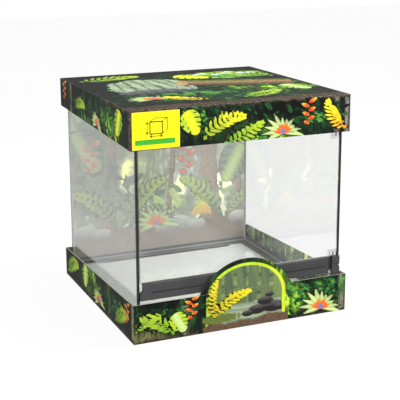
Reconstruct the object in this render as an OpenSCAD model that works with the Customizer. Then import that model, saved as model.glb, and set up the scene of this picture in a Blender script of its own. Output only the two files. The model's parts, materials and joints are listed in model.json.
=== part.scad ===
// Front-opening glass terrarium in its printed card cap and tray.
// Frame: origin at the centre of the tray's underside, +Z up, the door faces -Y.
// The cap lifts off, the cover lifts out, the door swings, and the tank lifts out of the tray.

/* [Glass tank] */
// Width of the glass box over its side panes
tank_w = 450; // [430:1:520]
// Depth of the glass box from the front plane to the back of the rear pane
tank_d = 450; // [430:1:520]
// Height of the side panes
pane_h = 424; // [404:1:460]
// Thickness of the side, rear and front panes
glass_t = 4; // [3.5:0.1:5]
// Thickness of the base pane
base_glass_t = 5; // [4:0.1:7]
// Depth of the black strip that covers each side pane's front edge
edge_seal_d = 6; // [4:0.1:9]
// Width of the sealant that closes the base pane's edge
sealant_w = 2; // [1:0.1:4]
// Leg of the sealant in the two rear corners
corner_seal_r = 4; // [2:0.1:6]

/* [Plastic frames] */
// Wall of the bottom and top frames
frame_wall = 3.5; // [2.5:0.1:3.8]
// Gap between the panes and the frames round them
frame_gap = 0.5; // [0.2:0.1:1]
// Height of the raised ledge that carries the panes
base_h = 23; // [22:0.5:32]
// How far the bottom frame's wall rises above its ledge
rim_h = 13; // [8:0.5:20]
// Width of the ledge, from the outside of the panes inwards
ledge_w = 22; // [16:0.5:30]
// Thickness of the ledge
ledge_t = 4; // [3:0.1:6]
// Thickness of the skirt under the ledge's inner edge
skirt_t = 3; // [2:0.1:5]
// How far the top frame's wall hangs below its shelf
top_rim_h = 20; // [14:0.5:26]
// Width of the shelf that carries the cover, from the outside of the panes inwards
shelf_w = 18; // [16.5:0.1:22]
// Thickness of the shelf
shelf_t = 4; // [3:0.1:6]
// Corner radius of the frames
frame_r = 4; // [2:0.1:6]

/* [Vent strip] */
// Height of the fixed front pane that shows under the strip
sill_h = 61; // [44:0.5:80]
// Height of the strip
strip_h = 34.5; // [34:0.5:44]
// Depth of the strip
strip_d = 10; // [9.5:0.1:14]
// How far the strip stands in front of the panes
strip_proud = 4; // [3.6:0.1:4.2]
// How far the strip's top lip stands in front of its face
lip_proud = 0.6; // [0.2:0.1:0.8]
// How far the fixed pane goes up into the strip
glass_bite = 5.5; // [4:0.1:7]
// From the tank's left side to the strip's left end
strip_left_gap = 26.5; // [22:0.5:32]
// From the tank's right side to the strip's right end
strip_right_gap = 27.3; // [24:0.1:32]
// Width of one ventilation slot
slot_w = 2; // [1:0.1:2.6]
// Height of one ventilation slot
slot_h = 4.4; // [3:0.1:5]
// Distance from one slot to the next
slot_pitch = 4.75; // [4:0.05:7]
// Height of the row of slots above the strip's underside
slot_row_h = 15; // [14.5:0.1:15.2]
// From the strip's end to its first slot
slot_margin = 3.3; // [3:0.1:8]

/* [Door] */
// Gap between the strip and the door
door_gap = 1; // [0.8:0.1:2]
// Gap between the door and the cap's edge that it swings under
door_top_gap = 1; // [0.8:0.1:3]
// Gap between the door and the side panes
door_side_gap = 1.5; // [1.2:0.1:2.5]
// From the tank's right side to the hinge axis
hinge_inset = 13; // [12.5:0.1:14]
// Radius of the hinge pins
pin_r = 2; // [1.5:0.1:2.4]
// Radial clearance of the pins in their blocks
pin_clear = 0.05; // [0.02:0.01:0.1]
// Length of each pin inside its block
pin_depth = 11; // [6:0.5:12]
// Length of each pin inside its shoe
pin_grip = 8; // [5:0.5:10]
// Width of the corner cut from the door glass for each shoe
shoe_cut_w = 14.5; // [13:0.1:18]
// Height of that corner cut
shoe_cut_h = 8; // [6:0.1:12]
// How far each shoe's cheeks reach past the corner cut
shoe_lap = 6; // [4:0.1:10]
// Thickness of a shoe's cheeks
shoe_t = 2.2; // [1.6:0.1:2.8]
// Width of the hinge blocks in front of the door
block_w = 17.8; // [17.4:0.1:18.4]

/* [Lock] */
// Place of the lock along the strip, from its middle
lock_x = 10; // [0:1:40]
// Distance of the lock's axis below the strip's top
lock_drop = 11; // [10.5:0.1:11.4]
// Length of the lock's tongue from its axis
tongue_len = 22; // [20:0.5:26]
// Width of the tongue
tongue_w = 9; // [6:0.1:10]
// Thickness of the tongue
tongue_t = 2.1; // [1.5:0.1:2.2]
// Radius of the lock's knob
knob_r = 8.5; // [6:0.1:9]
// Thickness of the knob
knob_t = 2.2; // [1.2:0.1:2.3]
// Radius of the lock's spindle
spindle_r = 3; // [2:0.1:3.5]

/* [Cover] */
// Thickness of the lift-out cover
cover_t = 8; // [7:0.1:12]
// Gap between the cover and the top frame's wall
cover_gap = 1; // [0.5:0.1:1.5]
// Width of the cover's bars
cover_bar = 24; // [22.5:0.1:30]
// Width of the bar between the glass and the mesh
cross_bar = 16; // [14:0.1:24]
// Place of that bar behind the middle of the tank
cross_y = 60; // [-40:1:120]
// Width of the rebate that the glass and the mesh lie in
rebate = 6; // [3:0.1:6.5]
// Thickness of the cover's glass
cover_glass_t = 4; // [3:0.1:5]
// Thickness of the mesh panel
mesh_t = 1; // [0.6:0.1:1.5]

/* [Cover fittings] */
// Width of a latch bolt
bolt_w = 16; // [10:0.5:24]
// Height of a latch bolt
bolt_h = 4; // [3:0.1:4.4]
// Travel of a latch bolt
bolt_travel = 4; // [3:0.1:4.2]
// Length of a cable inlet
inlet_len = 30; // [20:1:36]
// Width of a cable inlet
inlet_w = 11; // [8:0.1:11.4]
// Distance of each inlet's slide from the middle of the cover
inlet_x = 96; // [84:1:110]
// Sliding clearance of the inlets and bolts
slide_clear = 0.3; // [0.15:0.05:0.4]

/* [Drain] */
// Place of the drain to the right of the middle
drain_x = 70; // [-60:1:100]
// Place of the drain in front of the middle
drain_front = 80; // [20:1:110]
// Radius of the drain's neck through the base pane
neck_r = 12; // [11.5:0.1:13]
// Radius of the drain's bore
drain_bore_r = 9.5; // [8:0.1:10]
// Radius of the drain's flange
flange_r = 20; // [18:0.1:24]
// Thickness of the drain's flange
flange_t = 3; // [2:0.1:5]
// Thickness of the drain's gasket
gasket_t = 1; // [0.6:0.1:2]
// Outside radius of the drain's nut
nut_r = 19; // [17:0.1:22]
// Thickness of the drain's nut
nut_t = 6; // [4:0.1:6]
// Outside radius of the hose spigot
spigot_r = 5.5; // [5:0.1:5.8]
// Bore radius of the hose spigot
spigot_bore_r = 3.8; // [2.5:0.1:4]
// Length of the spigot from the drain's axis
spigot_len = 44; // [36:1:60]

/* [Card packaging] */
// Thickness of the printed card
card_t = 2; // [1.5:0.1:2.5]
// Gap between the glass and the card at each side
side_gap = 11; // [10.6:0.1:14]
// Gap between the glass and the card at the front and the rear
front_gap = 7; // [6.8:0.1:10]
// Height of the cap's front wall
cap_front_h = 77; // [70:1:90]
// Height of the cap's rear wall
cap_rear_h = 62; // [40:1:76]
// Height of the tray's front wall
tray_front_h = 81; // [74:0.5:81.5]
// Height of the tray's rear wall
tray_rear_h = 64; // [45:1:80]
// Thickness of the print card behind the rear pane
print_t = 1; // [0.5:0.1:1.6]
// Gap between the foam pad and the frame's skirt
pad_gap = 1; // [0.5:0.1:3]
// Gap between the foam pad and the base pane
pad_top_gap = 0.4; // [0.2:0.1:2]
// Width of the hand slot at the foam pad's rear edge
hand_slot_d = 10; // [6:0.5:20]
// Length of that hand slot
hand_slot_w = 334; // [200:1:360]

/* [Display header] */
// Radius of the header's round top
header_r = 110; // [90:1:130]
// Height of the header's top above the tray's front wall
header_h = 65; // [50:1:80]
// Place of the header to the right of the middle
header_x = 5; // [-40:1:40]
// Radius of the fillets where the header meets the wall
header_fillet = 6; // [2:0.5:10]
// Width of the plain yellow label on the cap
label_w = 96.5; // [60:0.5:140]
// Height of the label
label_h = 72; // [40:0.5:76]
// Thickness of the label
label_t = 0.3; // [0.2:0.05:0.6]

/* [Hidden] */
$fn = 64;

eps = 1; // overshoot of a cutting solid past the face it opens
touch = 0.001; // overlap that lets a bore break through a face
fit_gap = 0.2; // gap between two fixed pieces that meet

// Heights, from the tray's underside up
floor_z = card_t;
ledge_z = floor_z + base_h;
deck_z = ledge_z + base_glass_t;
rim_z = ledge_z + rim_h;
strip_z = ledge_z + sill_h;
strip_top = strip_z + strip_h;
pane_top = ledge_z + pane_h;
shelf_z = pane_top + shelf_t;
cover_top = shelf_z + cover_t;
cover_sink = 1;
frame_top = cover_top + cover_sink;
pack_h = frame_top + card_t;
cap_edge_z = pack_h - cap_front_h;

// Plan sizes
half_w = tank_w / 2;
half_d = tank_d / 2;
front_y = -half_d;
pocket_w = tank_w + 2 * frame_gap;
pocket_d = tank_d + 2 * frame_gap;
frame_w = pocket_w + 2 * frame_wall;
frame_d = pocket_d + 2 * frame_wall;
inner_x = half_w - glass_t;
inner_front_y = front_y + glass_t;
inner_rear_y = half_d - glass_t;
pane_gap = 0.5;
base_play = 1;
pane_x = inner_x - pane_gap;
card_in_w = tank_w + 2 * side_gap;
card_in_d = tank_d + 2 * front_gap;
pack_w = card_in_w + 2 * card_t;
pack_d = card_in_d + 2 * card_t;
card_r = 2;

// Vent strip
strip_y = front_y - strip_proud;
strip_back_y = strip_y + strip_d;
strip_x0 = -half_w + strip_left_gap;
strip_x1 = half_w - strip_right_gap;
strip_len = strip_x1 - strip_x0;
bite_z = strip_z + glass_bite;
glass_play = 0.25;
row_z = strip_z + slot_row_h;
slot_count = 1 + floor((strip_len - 2 * slot_margin - slot_w) / slot_pitch);
chamber_h = slot_h + 4.6;
chamber_wall = 2.8;
lip_h = 6;
lip_ease = 1;
line_rise = 3.3;
line_h = 0.9;
line_d = 0.6;
end_wall = 2;
window_margin = 3;
vent_mesh_t = 0.6;
vent_mesh_play = 0.3;
stop_w = 15.3;
stop_steps = 6;
stop_rise = 1.5;
stop_drop = 14;

// Door and hinge
door_z = strip_top + door_gap;
door_top = cap_edge_z - door_top_gap;
lintel_z = door_top + 0.8;
door_x = inner_x - door_side_gap;
hinge_x = half_w - hinge_inset;
hinge_y = front_y + glass_t / 2;
block_x = half_w - block_w;
shoe_x = door_x - shoe_cut_w - shoe_lap;
lintel_play = 0.3;
block_foot = 12;
block_play = 0.1;
block_lift = 0.8;
web_t = 3;
notch_drop = 20;
notch_h = 8;
notch_d = 2.5;
screw_in = 9.3;
screw_r = 1.45;
screw_len = 7.5;
screw_clear = 0.05;
screw_tip_gap = 0.5;
screw_head_r = 2.8;
screw_head_t = 0.7;
lower_screw_z = strip_top - 14.5;
upper_screw_z = lintel_z + 20;
pull_w = 24;
pull_h = 10;
pull_d = 5;
pull_lift = 2.5;
pull_gap = 2.5;
groove_r = 1.4;
groove_in = 1.6;

// Lock
lock_z = strip_top - lock_drop;
lock_gap = 0.15;
tongue_y = strip_y - lock_gap;
knob_y = tongue_y - knob_t;
recess_y = tongue_y + tongue_t + 2 * lock_gap;
recess_clear = 0.8;
spindle_clear = 0.1;
spindle_past = 2.5;
coin_slot_w = 1.6;
coin_slot_d = 1;
coin_slot_edge = 2;
clip_gap = 0.4;
clip_t = 1.2;
clip_w = 3;

// Cover
cover_hw = half_w + frame_gap - cover_gap;
cover_hd = half_d + frame_gap - cover_gap;
cover_in_x = cover_hw - cover_bar;
cover_in_y = cover_hd - cover_bar;
cover_rear_y = cover_in_y - rebate;
bolt_z = shelf_z + cover_t / 2;
bolt_play = 0.3;
bolt_socket = bolt_travel + bolt_play;
bolt_tip_in = 0.5;
panel_play = 0.5;
inlet_y = half_d - shelf_w + 7;
slide_base_w = inlet_w + 4;
slide_base_t = 1.2;
slide_top_t = 1;
slide_lap = 3;
slide_len = inlet_len + 2 * slide_lap;
slide_travel = inlet_len + 2;
slide_neck_w = inlet_w + 1;
slide_sink = 0.2;
thumb_w = 3;
thumb_h = 0.9;
thumb_in = 7;
slide_pocket_z = cover_top - slide_base_t - slide_top_t - slide_clear;

// Drain
drain_y = -drain_front;
flange_z = deck_z + gasket_t;
flange_top = flange_z + flange_t;
sump_gap = 2.5;
sump_z = floor_z + sump_gap;
spigot_z = sump_z + spigot_r + 1;
nut_z = ledge_z - fit_gap - nut_t;
neck_clear = 0.3;
hole_clear = 1;
barb_pitch = 4;
barb_len = 2.5;
barb_rise = 0.7;
sump_floor_t = 2;
notch_r = 2.2;
plug_t = 1.6;
plug_len = 12;
plug_push = 9;
plug_play = 0.05;
gasket_in = 1;
grate_t = 3;
grate_rim = 2;
grate_skirt_h = 6;
grate_play = 0.3;
grate_seat = 0.1;
grate_slot_w = 1.8;
grate_slot_r0 = 4;
grate_slot_r1 = 10;

function half_wave(t) = (1 - cos(180 * t)) / 2;

// ---- shared shapes ----

// Box centred on the origin in X and Y, from z up
module centred_box(w, d, z, h) {
  translate([-w / 2, -d / 2, z]) cube([w, d, h]);
}

// Box from one corner to the opposite one
module corner_box(low, high) {
  translate(low) cube(high - low);
}

// Upright plate with round corners, centred in X and Y
module rounded_plate(w, d, r, z, h) {
  translate([0, 0, z])
    linear_extrude(h) {
      square([w - 2 * r, d], center = true);
      square([w, d - 2 * r], center = true);
      for (x = [-1, 1], y = [-1, 1])
        translate([x * (w / 2 - r), y * (d / 2 - r)]) circle(r);
    }
}

// Outline in the Y-Z plane drawn out along X from x0
module along_x(x0, length) {
  translate([x0, 0, 0]) rotate([90, 0, 90]) linear_extrude(length) children();
}

// Outline in the X-Z plane drawn out towards -Y, with its front face at y0
module along_y(y0, depth) {
  translate([0, y0 + depth, 0]) rotate([90, 0, 0]) linear_extrude(depth) children();
}

// Mirror image of the children beside the children themselves
module both_sides() {
  children();
  mirror([1, 0, 0]) children();
}

// ---- card packaging ----

// Open card box: a floor and four walls whose sides slope from front to rear
module card_shell(front_h, rear_h) {
  intersection() {
    difference() {
      rounded_plate(pack_w, pack_d, card_r, 0, max(front_h, rear_h));
      centred_box(card_in_w, card_in_d, card_t, max(front_h, rear_h));
    }
    along_x(-pack_w / 2, pack_w)
      polygon([
        [-pack_d / 2, 0], [pack_d / 2, 0],
        [pack_d / 2, rear_h], [pack_d / 2 - card_t, rear_h],
        [-pack_d / 2 + card_t, front_h], [-pack_d / 2, front_h]
      ]);
  }
}

module packaging_tray() {
  color("darkgreen") card_shell(tray_front_h, tray_rear_h);
}

module packaging_cap() {
  color("darkgreen")
    translate([0, 0, pack_h]) mirror([0, 0, 1]) card_shell(cap_front_h, cap_rear_h);
}

// Round-topped panel that stands on the tray's front wall
module display_header() {
  arc_z = tray_front_h + header_h - header_r;
  half_base = sqrt(pow(header_r, 2) - pow(tray_front_h - arc_z, 2));
  base_w = 2 * (half_base + header_fillet);
  color("yellowgreen")
    along_y(-pack_d / 2, card_t)
      intersection() {
        union() {
          translate([header_x, arc_z]) circle(header_r, $fn = 128);
          for (side = [-1, 1])
            translate([header_x + side * (half_base + header_fillet), tray_front_h + header_fillet])
              mirror([side > 0 ? 1 : 0, 0])
                difference() {
                  translate([0, -header_fillet]) square([2 * header_fillet, header_fillet]);
                  circle(header_fillet);
                }
        }
        translate([header_x - base_w / 2, tray_front_h]) square([base_w, header_h + eps]);
      }
}

module foam_pad() {
  pad_w = tank_w - 2 * ledge_w - 2 * pad_gap;
  pad_d = tank_d - 2 * ledge_w - 2 * pad_gap;
  pad_top = ledge_z - pad_top_gap;
  well_gap = 5;
  channel_gap = 3;
  well_r = nut_r + well_gap;
  channel_w = 2 * (spigot_r + plug_t + channel_gap);
  color("white")
    difference() {
      centred_box(pad_w, pad_d, floor_z, pad_top - floor_z);
      translate([-hand_slot_w / 2, pad_d / 2 - hand_slot_d, floor_z - eps])
        cube([hand_slot_w, hand_slot_d + eps, base_h + eps]);
      translate([drain_x, drain_y, floor_z - eps]) cylinder(h = base_h + eps, r = well_r);
      translate([drain_x - channel_w / 2, drain_y, floor_z - eps])
        cube([channel_w, spigot_len + plug_len, base_h + eps]);
    }
}

module cap_label() {
  label_in = 4;
  label_x = -pack_w / 2 + label_in;
  label_z = cap_edge_z + (cap_front_h - label_h) / 4;
  color("yellow")
    corner_box(
      [label_x, -pack_d / 2 - label_t, label_z],
      [label_x + label_w, -pack_d / 2, label_z + label_h]
    );
}

module rear_print_card() {
  print_gap = 0.1;
  print_in = 2;
  print_y = half_d + frame_gap + print_gap;
  color("darkseagreen")
    corner_box(
      [-half_w + print_in, print_y, rim_z],
      [half_w - print_in, print_y + print_t, pane_top - top_rim_h]
    );
}

// ---- glass ----

module base_glass() {
  color("lightcyan", 0.4)
    difference() {
      centred_box(2 * (inner_x - base_play), 2 * (inner_rear_y - base_play), ledge_z, base_glass_t);
      translate([drain_x, drain_y, ledge_z - eps])
        cylinder(h = base_glass_t + 2 * eps, r = neck_r + hole_clear);
    }
}

module side_pane() {
  corner_box([inner_x, front_y + edge_seal_d, ledge_z], [half_w, half_d, pane_top]);
}

module left_glass() {
  color("lightcyan", 0.4) mirror([1, 0, 0]) side_pane();
}

module right_glass() {
  color("lightcyan", 0.4) side_pane();
}

module rear_glass() {
  color("lightcyan", 0.4)
    corner_box([-pane_x, inner_rear_y, ledge_z], [pane_x, half_d, pane_top]);
}

module lower_front_glass() {
  color("lightcyan", 0.4)
    corner_box([-pane_x, front_y, ledge_z], [pane_x, inner_front_y, bite_z]);
}

module front_edge_seals() {
  color("black")
    both_sides()
      corner_box([inner_x, front_y, ledge_z], [half_w, front_y + edge_seal_d, pane_top]);
}

module rear_corner_seals() {
  seal_z = deck_z + sealant_w;
  color("black")
    both_sides()
      translate([inner_x - corner_seal_r, inner_rear_y - corner_seal_r, seal_z])
        linear_extrude(pane_top - seal_z)
          difference() {
            square(corner_seal_r);
            circle(corner_seal_r);
          }
}

module base_sealant() {
  color("gray")
    difference() {
      centred_box(2 * inner_x, 2 * inner_rear_y, deck_z, sealant_w);
      centred_box(2 * (inner_x - sealant_w), 2 * (inner_rear_y - sealant_w), deck_z - eps,
        sealant_w + 2 * eps);
    }
}

// ---- plastic frames ----

module bottom_frame() {
  opening_w = tank_w - 2 * ledge_w;
  opening_d = tank_d - 2 * ledge_w;
  color("dimgray")
    difference() {
      rounded_plate(frame_w, frame_d, frame_r, floor_z, base_h + rim_h);
      centred_box(pocket_w, pocket_d, ledge_z, rim_h + eps);
      centred_box(opening_w, opening_d, floor_z - eps, base_h + 2 * eps);
      difference() {
        centred_box(pocket_w, pocket_d, floor_z - eps, base_h - ledge_t + eps);
        centred_box(opening_w + 2 * skirt_t, opening_d + 2 * skirt_t, floor_z - 2 * eps, base_h);
      }
    }
}

module top_frame() {
  rim_low = pane_top - top_rim_h;
  color("dimgray")
    difference() {
      rounded_plate(frame_w, frame_d, frame_r, rim_low, frame_top - rim_low);
      centred_box(pocket_w, pocket_d, rim_low - eps, top_rim_h + eps);
      centred_box(pocket_w, pocket_d, shelf_z, cover_t + 2 * eps);
      centred_box(tank_w - 2 * shelf_w, tank_d - 2 * shelf_w, pane_top - eps, shelf_t + 2 * eps);
      both_sides() {
        translate([half_w, -bolt_w / 2 - slide_clear, bolt_z - bolt_h / 2 - slide_clear])
          cube([2 * frame_wall + eps, bolt_w + 2 * slide_clear, bolt_h + 2 * slide_clear]);
        translate([inlet_x, inlet_y - inlet_w / 2, pane_top - eps])
          cube([inlet_len, inlet_w, shelf_t + 2 * eps]);
      }
    }
}

// Fixed bar over the door, behind the cap's front wall
module lintel() {
  rail_h = 6;
  rail_proud = 3;
  color("dimgray")
    along_x(-pane_x, block_x - lintel_play + pane_x)
      polygon([
        [inner_front_y, lintel_z], [inner_front_y, pane_top], [front_y, pane_top],
        [front_y, lintel_z + rail_h + rail_proud], [front_y - rail_proud, lintel_z + rail_h],
        [front_y - rail_proud, lintel_z]
      ]);
}

// ---- vent strip ----

module strip_outline() {
  difference() {
    polygon([
      [strip_y, strip_z], [strip_back_y, strip_z], [strip_back_y, strip_top],
      [strip_y + lip_ease / 2, strip_top], [strip_y - lip_proud, strip_top - lip_ease],
      [strip_y - lip_proud, strip_top - lip_h + lip_ease], [strip_y, strip_top - lip_h]
    ]);
    pane_channel();
    // shallow line above the slots
    translate([strip_y - eps, row_z + slot_h / 2 + line_rise]) square([eps + line_d, line_h]);
  }
}

// Channel that takes the fixed pane's top edge, in the Y-Z plane
module pane_channel() {
  translate([front_y - glass_play, strip_z - eps])
    square([glass_t + 2 * glass_play, glass_bite + glass_play + eps]);
}

module vent_strip() {
  chamber_y0 = strip_y + chamber_wall;
  chamber_y1 = strip_back_y - chamber_wall;
  window_h = chamber_h - window_margin;
  recess_r = tongue_len + recess_clear;
  color("#505052")
    difference() {
      along_x(strip_x0, strip_len) strip_outline();
      // air chamber and the long window behind it
      corner_box(
        [strip_x0 + end_wall, chamber_y0, row_z - chamber_h / 2],
        [strip_x1 - end_wall, chamber_y1, row_z + chamber_h / 2]
      );
      corner_box(
        [strip_x0 + end_wall, chamber_y1 - eps, row_z - window_h / 2],
        [strip_x1 - end_wall, strip_back_y + eps, row_z + window_h / 2]
      );
      for (i = [0:slot_count - 1])
        translate([strip_x0 + slot_margin + i * slot_pitch, strip_y - eps, row_z - slot_h / 2])
          cube([slot_w, chamber_wall + 2 * eps, slot_h]);
      // recess that the lock's tongue turns in, and the spindle's hole
      corner_box(
        [lock_x - recess_r, strip_y - 2 * eps, lock_z - tongue_w / 2 - recess_clear],
        [lock_x + knob_r + recess_clear, recess_y, strip_top + eps]
      );
      translate([lock_x, strip_back_y + eps, lock_z]) rotate([90, 0, 0])
        cylinder(h = strip_d + 2 * eps, r = spindle_r + spindle_clear);
    }
}

module vent_mesh() {
  mesh_x = end_wall + vent_mesh_play;
  mesh_y = strip_back_y - chamber_wall - vent_mesh_t - fit_gap;
  mesh_h = chamber_h / 2 - vent_mesh_play;
  color("silver")
    corner_box(
      [strip_x0 + mesh_x, mesh_y, row_z - mesh_h],
      [strip_x1 - mesh_x, mesh_y + vent_mesh_t, row_z + mesh_h]
    );
}

// End piece of the strip, stepped out to the side pane
module strip_end_stop() {
  stop_x1 = strip_x0 - fit_gap;
  stop_x0 = stop_x1 - stop_w;
  foot_x = -inner_x + fit_gap;
  step_top = strip_top - stop_drop;
  color("#404042")
    difference() {
      along_y(strip_y, strip_d)
        polygon(concat(
          [[stop_x1, strip_z], [stop_x1, strip_top], [stop_x0 + stop_rise, strip_top],
            [stop_x0, strip_top - stop_rise]],
          [for (i = [0:stop_steps]) [
            stop_x0 + (foot_x - stop_x0) * half_wave(i / stop_steps),
            step_top - stop_rise * i
          ]],
          [[foot_x, strip_z]]
        ));
      along_x(foot_x - eps, strip_x0 - foot_x + 2 * eps) pane_channel();
    }
}

// ---- door hinge ----

module pin_bore(z) {
  translate([hinge_x, hinge_y, z]) cylinder(h = pin_depth + 1, r = pin_r + pin_clear);
}

module screw_hole(z) {
  translate([block_x + screw_in, strip_y - eps, z]) rotate([-90, 0, 0])
    cylinder(h = screw_len + screw_tip_gap + eps, r = screw_r + screw_clear);
}

module lower_hinge_block() {
  notch_z = strip_top - notch_drop;
  web_x = strip_x1 + fit_gap;
  color("#5a5a5c")
    difference() {
      union() {
        // body between the strip and the side pane
        corner_box(
          [block_x, strip_y, bite_z + block_lift],
          [inner_x - block_play, strip_back_y, strip_top]
        );
        // plate in front of the panes
        corner_box(
          [block_x, strip_y, strip_z - block_foot],
          [half_w, front_y - fit_gap, strip_top]
        );
        // web that closes the gap beside the strip
        corner_box(
          [web_x, strip_back_y - web_t, bite_z + block_lift],
          [block_x + eps, strip_back_y, strip_top - web_t / 2]
        );
      }
      pin_bore(strip_top - pin_depth - 1 + touch);
      screw_hole(lower_screw_z);
      // notch in the plate's outer edge
      along_y(strip_y - eps, strip_proud + 2 * eps)
        polygon([
          [half_w + eps, notch_z - notch_h / 2], [half_w + eps, notch_z + notch_h / 2],
          [half_w - notch_d, notch_z]
        ]);
    }
}

module upper_hinge_block() {
  block_top = pane_top - top_rim_h - frame_gap;
  color("#5a5a5c")
    difference() {
      corner_box([block_x, strip_y, lintel_z], [inner_x - block_play, strip_back_y, block_top]);
      pin_bore(lintel_z - touch);
      screw_hole(upper_screw_z);
    }
}

module hinge_screw(z) {
  cross_len = 2 * screw_head_r - 2;
  translate([block_x + screw_in, strip_y, z])
    rotate([-90, 0, 0]) {
      cylinder(h = screw_len, r = screw_r);
      translate([0, 0, -screw_head_t])
        difference() {
          cylinder(h = screw_head_t, r = screw_head_r);
          cube([cross_len, screw_head_t, screw_head_t], center = true);
          cube([screw_head_t, cross_len, screw_head_t], center = true);
        }
    }
}

module hinge_screws() {
  color("silver") {
    hinge_screw(lower_screw_z);
    hinge_screw(upper_screw_z);
  }
}

// ---- door ----

module door_pane() {
  difference() {
    corner_box([-door_x, front_y, door_z], [door_x, inner_front_y, door_top]);
    for (z = [door_z - eps, door_top - shoe_cut_h])
      translate([door_x - shoe_cut_w, front_y - eps, z])
        cube([shoe_cut_w + eps, glass_t + 2 * eps, shoe_cut_h + eps]);
  }
}

module door_glass() {
  color("lightcyan", 0.4) door_pane();
}

// Clip on a corner of the door glass, with the hole that holds the hinge pin
module door_shoe(z0, z1, pin_z) {
  difference() {
    corner_box(
      [shoe_x, front_y - shoe_t, z0],
      [door_x, inner_front_y + shoe_t, z1]
    );
    door_pane();
    translate([hinge_x, hinge_y, pin_z]) cylinder(h = pin_grip, r = pin_r);
  }
}

module lower_door_shoe() {
  color("whitesmoke", 0.6)
    door_shoe(door_z, door_z + shoe_cut_h + shoe_lap, door_z - touch);
}

module upper_door_shoe() {
  color("whitesmoke", 0.6)
    door_shoe(door_top - shoe_cut_h - shoe_lap, door_top, door_top - pin_grip + touch);
}

module hinge_pins() {
  color("silver") {
    translate([hinge_x, hinge_y, strip_top - pin_depth])
      cylinder(h = pin_depth + door_gap + pin_grip, r = pin_r);
    translate([hinge_x, hinge_y, door_top - pin_grip])
      cylinder(h = pin_grip + lintel_z - door_top + pin_depth, r = pin_r);
  }
}

// Grip bonded to the front of the door glass, clear of the turned tongue
module door_pull() {
  pull_x = lock_x + tongue_w / 2 + pull_gap;
  pull_z = door_z + pull_lift;
  color("#303032")
    difference() {
      corner_box([pull_x, front_y - pull_d, pull_z], [pull_x + pull_w, front_y, pull_z + pull_h]);
      // finger groove along the upper side
      translate([pull_x - eps, front_y - groove_in, pull_z + pull_h]) rotate([0, 90, 0])
        cylinder(h = pull_w + 2 * eps, r = groove_r);
    }
}

// ---- lock ----

module lock_knob() {
  color("#303032")
    translate([lock_x, 0, lock_z]) {
      difference() {
        translate([0, knob_y, 0]) rotate([-90, 0, 0]) cylinder(h = knob_t, r = knob_r);
        // coin slot
        translate([-knob_r + coin_slot_edge, knob_y - eps, -coin_slot_w / 2])
          cube([2 * (knob_r - coin_slot_edge), coin_slot_d + eps, coin_slot_w]);
      }
      translate([0, tongue_y, 0]) rotate([-90, 0, 0]) cylinder(h = tongue_t, r = tongue_w / 2);
      translate([-tongue_len, tongue_y, -tongue_w / 2])
        cube([tongue_len, tongue_t, tongue_w]);
      translate([0, tongue_y, 0]) rotate([-90, 0, 0])
        cylinder(h = strip_back_y + spindle_past - tongue_y, r = spindle_r);
    }
}

module lock_clip() {
  color("silver")
    translate([lock_x, strip_back_y + clip_gap, lock_z]) rotate([-90, 0, 0])
      difference() {
        cylinder(h = clip_t, r = spindle_r + clip_w);
        translate([0, 0, -eps]) cylinder(h = clip_t + 2 * eps, r = spindle_r);
      }
}

// ---- cover ----

module cover_opening(y0, y1) {
  corner_box([-cover_in_x, y0, shelf_z - eps], [cover_in_x, y1, cover_top + eps]);
}

module cover_rebate(y0, y1, depth) {
  corner_box(
    [-cover_in_x - rebate, y0 - rebate, cover_top - depth],
    [cover_in_x + rebate, y1 + rebate, cover_top + eps]
  );
}

// Groove for one inlet slide, with the inlet at its left end
module slide_groove() {
  groove_len = slide_len + slide_travel + 2 * slide_clear;
  base_w = slide_base_w + 2 * slide_clear;
  groove_x = inlet_x - slide_lap - slide_clear;
  neck_w = slide_neck_w + 2 * slide_clear;
  translate([groove_x, inlet_y - base_w / 2, slide_pocket_z])
    cube([groove_len, base_w, slide_base_t + slide_clear]);
  translate([groove_x, inlet_y - neck_w / 2, slide_pocket_z])
    cube([groove_len, neck_w, cover_top - slide_pocket_z + eps]);
}

module cover_frame() {
  color("dimgray")
    difference() {
      rounded_plate(2 * cover_hw, 2 * cover_hd, frame_r - frame_wall + 1, shelf_z, cover_t);
      cover_opening(-cover_in_y, cross_y - cross_bar / 2);
      cover_opening(cross_y + cross_bar / 2, cover_rear_y);
      cover_rebate(-cover_in_y, cross_y - cross_bar / 2, cover_glass_t);
      cover_rebate(cross_y + cross_bar / 2, cover_rear_y, mesh_t);
      both_sides() {
        slide_groove();
        translate([inlet_x, inlet_y - inlet_w / 2, shelf_z - eps])
          cube([inlet_len, inlet_w, cover_t]);
        translate([cover_hw - bolt_socket, -bolt_w / 2 - slide_clear, bolt_z - bolt_h / 2 - slide_clear])
          cube([bolt_socket + eps, bolt_w + 2 * slide_clear, bolt_h + 2 * slide_clear]);
      }
    }
}

module cover_glass() {
  edge = rebate - panel_play;
  color("lightcyan", 0.4)
    corner_box(
      [-cover_in_x - edge, -cover_in_y - edge, cover_top - cover_glass_t],
      [cover_in_x + edge, cross_y - cross_bar / 2 + edge, cover_top]
    );
}

module cover_mesh() {
  edge = rebate - panel_play;
  color("silver")
    corner_box(
      [-cover_in_x - edge, cross_y + cross_bar / 2 - edge, cover_top - mesh_t],
      [cover_in_x + edge, cover_rear_y + edge, cover_top]
    );
}

// Bolt that slides through the top frame's wall into the cover
module latch() {
  grip_t = 2;
  grip_over = 3;
  grip_low = 1.5;
  grip_high = 1;
  tip_x = half_w + frame_gap - bolt_tip_in;
  grip_x = half_w + frame_gap + frame_wall + bolt_travel + bolt_play;
  color("#303032") {
    corner_box(
      [tip_x, -bolt_w / 2, bolt_z - bolt_h / 2],
      [grip_x, bolt_w / 2, bolt_z + bolt_h / 2]
    );
    corner_box(
      [grip_x - 10 * touch, -bolt_w / 2 - grip_over, bolt_z - bolt_h / 2 - grip_low],
      [grip_x + grip_t, bolt_w / 2 + grip_over, bolt_z + bolt_h / 2 + grip_high]
    );
  }
}

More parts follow.
